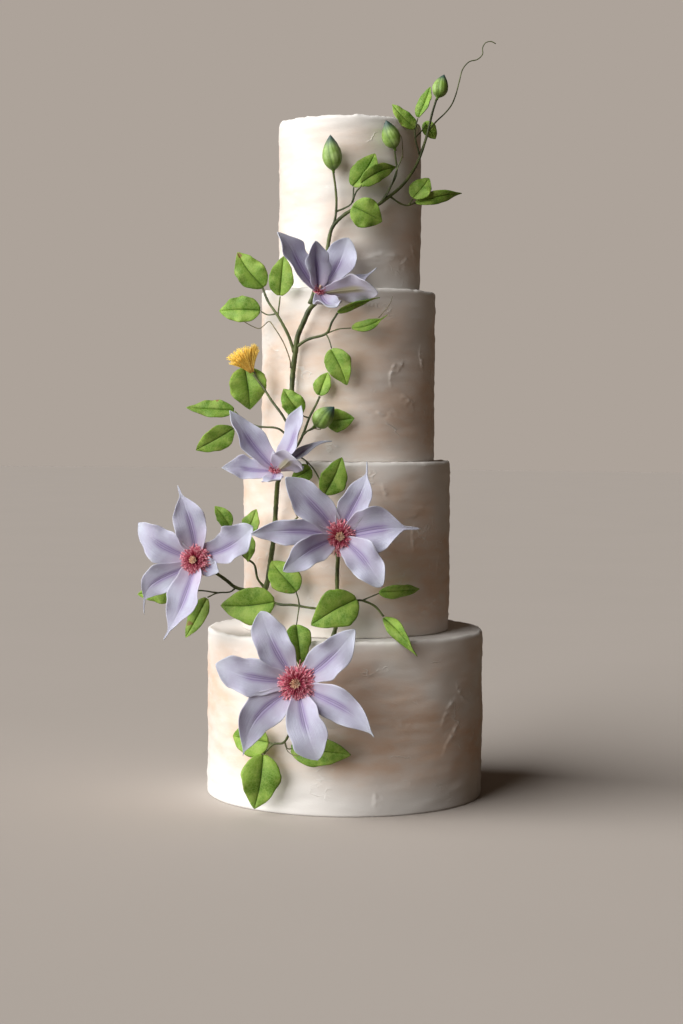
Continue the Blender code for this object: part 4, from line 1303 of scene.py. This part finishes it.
class CAKE_OT_fill_flowers(CakeOperator):
    """Fill the flowers with stamens."""

    bl_idname = "cake.fill_flowers"
    bl_label = "Fill flowers"

    def execute(self, context):
        threads = (thread_mesh(1.35), thread_mesh(1.25))
        finishes = (stamen_finish(), stigma_finish())
        for name, flower in FLOWERS.items():
            fill_flower(self.look, name, flower, threads, finishes)
        return {"FINISHED"}


class CAKE_OT_cut_leaves(CakeOperator):
    """Cut and vein the leaves."""

    bl_idname = "cake.cut_leaves"
    bl_label = "Cut leaves"

    def execute(self, context):
        material = leaf_finish(self.look)
        for group, leaves in LEAVES.items():
            dice = random.Random(group)
            for number, leaf in enumerate(leaves, 1):
                bm = bmesh.new()
                add_blade(bm, leaf_blade(leaf, dice), LEAF_CELLS, LEAF_CROWD)
                name = f"clematis_leaf_{group}_{number}"
                piece = finished(name, mesh_from(bm, name), [material],
                                 [f"leaf_{group}_{number}"])
                thicken(piece, self.look.leaf_thickness, 0)
        return {"FINISHED"}


class CAKE_OT_roll_buds(CakeOperator):
    """Roll the four buds."""

    bl_idname = "cake.roll_buds"
    bl_label = "Roll buds"

    def execute(self, context):
        material = bud_finish()
        for number, bud in enumerate(BUDS, 1):
            roll_bud(number, *bud, material)
        return {"FINISHED"}


class CAKE_OT_tease_seed_head(CakeOperator):
    """Tease out the dry seed tuft."""

    bl_idname = "cake.tease_seed_head"
    bl_label = "Tease seed head"

    def execute(self, context):
        tease_seed_head(thread_mesh(0))
        return {"FINISHED"}


class CAKE_OT_wire_stems(CakeOperator):
    """Wire the stems and the curling tendrils."""

    bl_idname = "cake.wire_stems"
    bl_label = "Wire stems"

    def execute(self, context):
        material = stem_finish()
        for seed, (name, stems) in enumerate(SPRAYS.items()):
            wire(f"vine_{name}", stems, material, [name], seed)
        wire("tendrils", TENDRILS, tendril_finish(), [], 50)
        return {"FINISHED"}


class CAKE_OT_set_stage(CakeOperator):
    """Lay the floor and set the light and the camera."""

    bl_idname = "cake.set_stage"
    bl_label = "Set stage"

    def execute(self, context):
        add_floor()
        set_world()
        add_window()
        add_camera()
        bpy.context.scene.view_settings.view_transform = "Standard"
        return {"FINISHED"}


class CAKE_PT_look(bpy.types.Panel):
    """Cake settings and steps."""

    bl_idname = "CAKE_PT_look"
    bl_label = "Cake"
    bl_space_type = "VIEW_3D"
    bl_region_type = "UI"
    bl_category = "Cake"

    def draw(self, context):
        look = context.scene.cake_look
        for name in CakeLook.__annotations__:
            self.layout.prop(look, name)
        for step in STEPS:
            self.layout.operator(step.bl_idname)


STEPS = (CAKE_OT_spread_tiers, CAKE_OT_shape_flowers, CAKE_OT_fill_flowers, CAKE_OT_cut_leaves,
         CAKE_OT_roll_buds, CAKE_OT_tease_seed_head, CAKE_OT_wire_stems, CAKE_OT_set_stage)
CLASSES = (CakeLook, *STEPS, CAKE_PT_look)


def register():
    for cls in CLASSES:
        bpy.utils.register_class(cls)
    bpy.types.Scene.cake_look = bpy.props.PointerProperty(type=CakeLook)


def unregister():
    del bpy.types.Scene.cake_look
    for cls in reversed(CLASSES):
        bpy.utils.unregister_class(cls)


def main():
    register()
    bpy.ops.cake.spread_tiers()
    bpy.ops.cake.shape_flowers()
    bpy.ops.cake.fill_flowers()
    bpy.ops.cake.cut_leaves()
    bpy.ops.cake.roll_buds()
    bpy.ops.cake.tease_seed_head()
    bpy.ops.cake.wire_stems()
    bpy.ops.cake.set_stage()


if __name__ == "__main__":
    main()
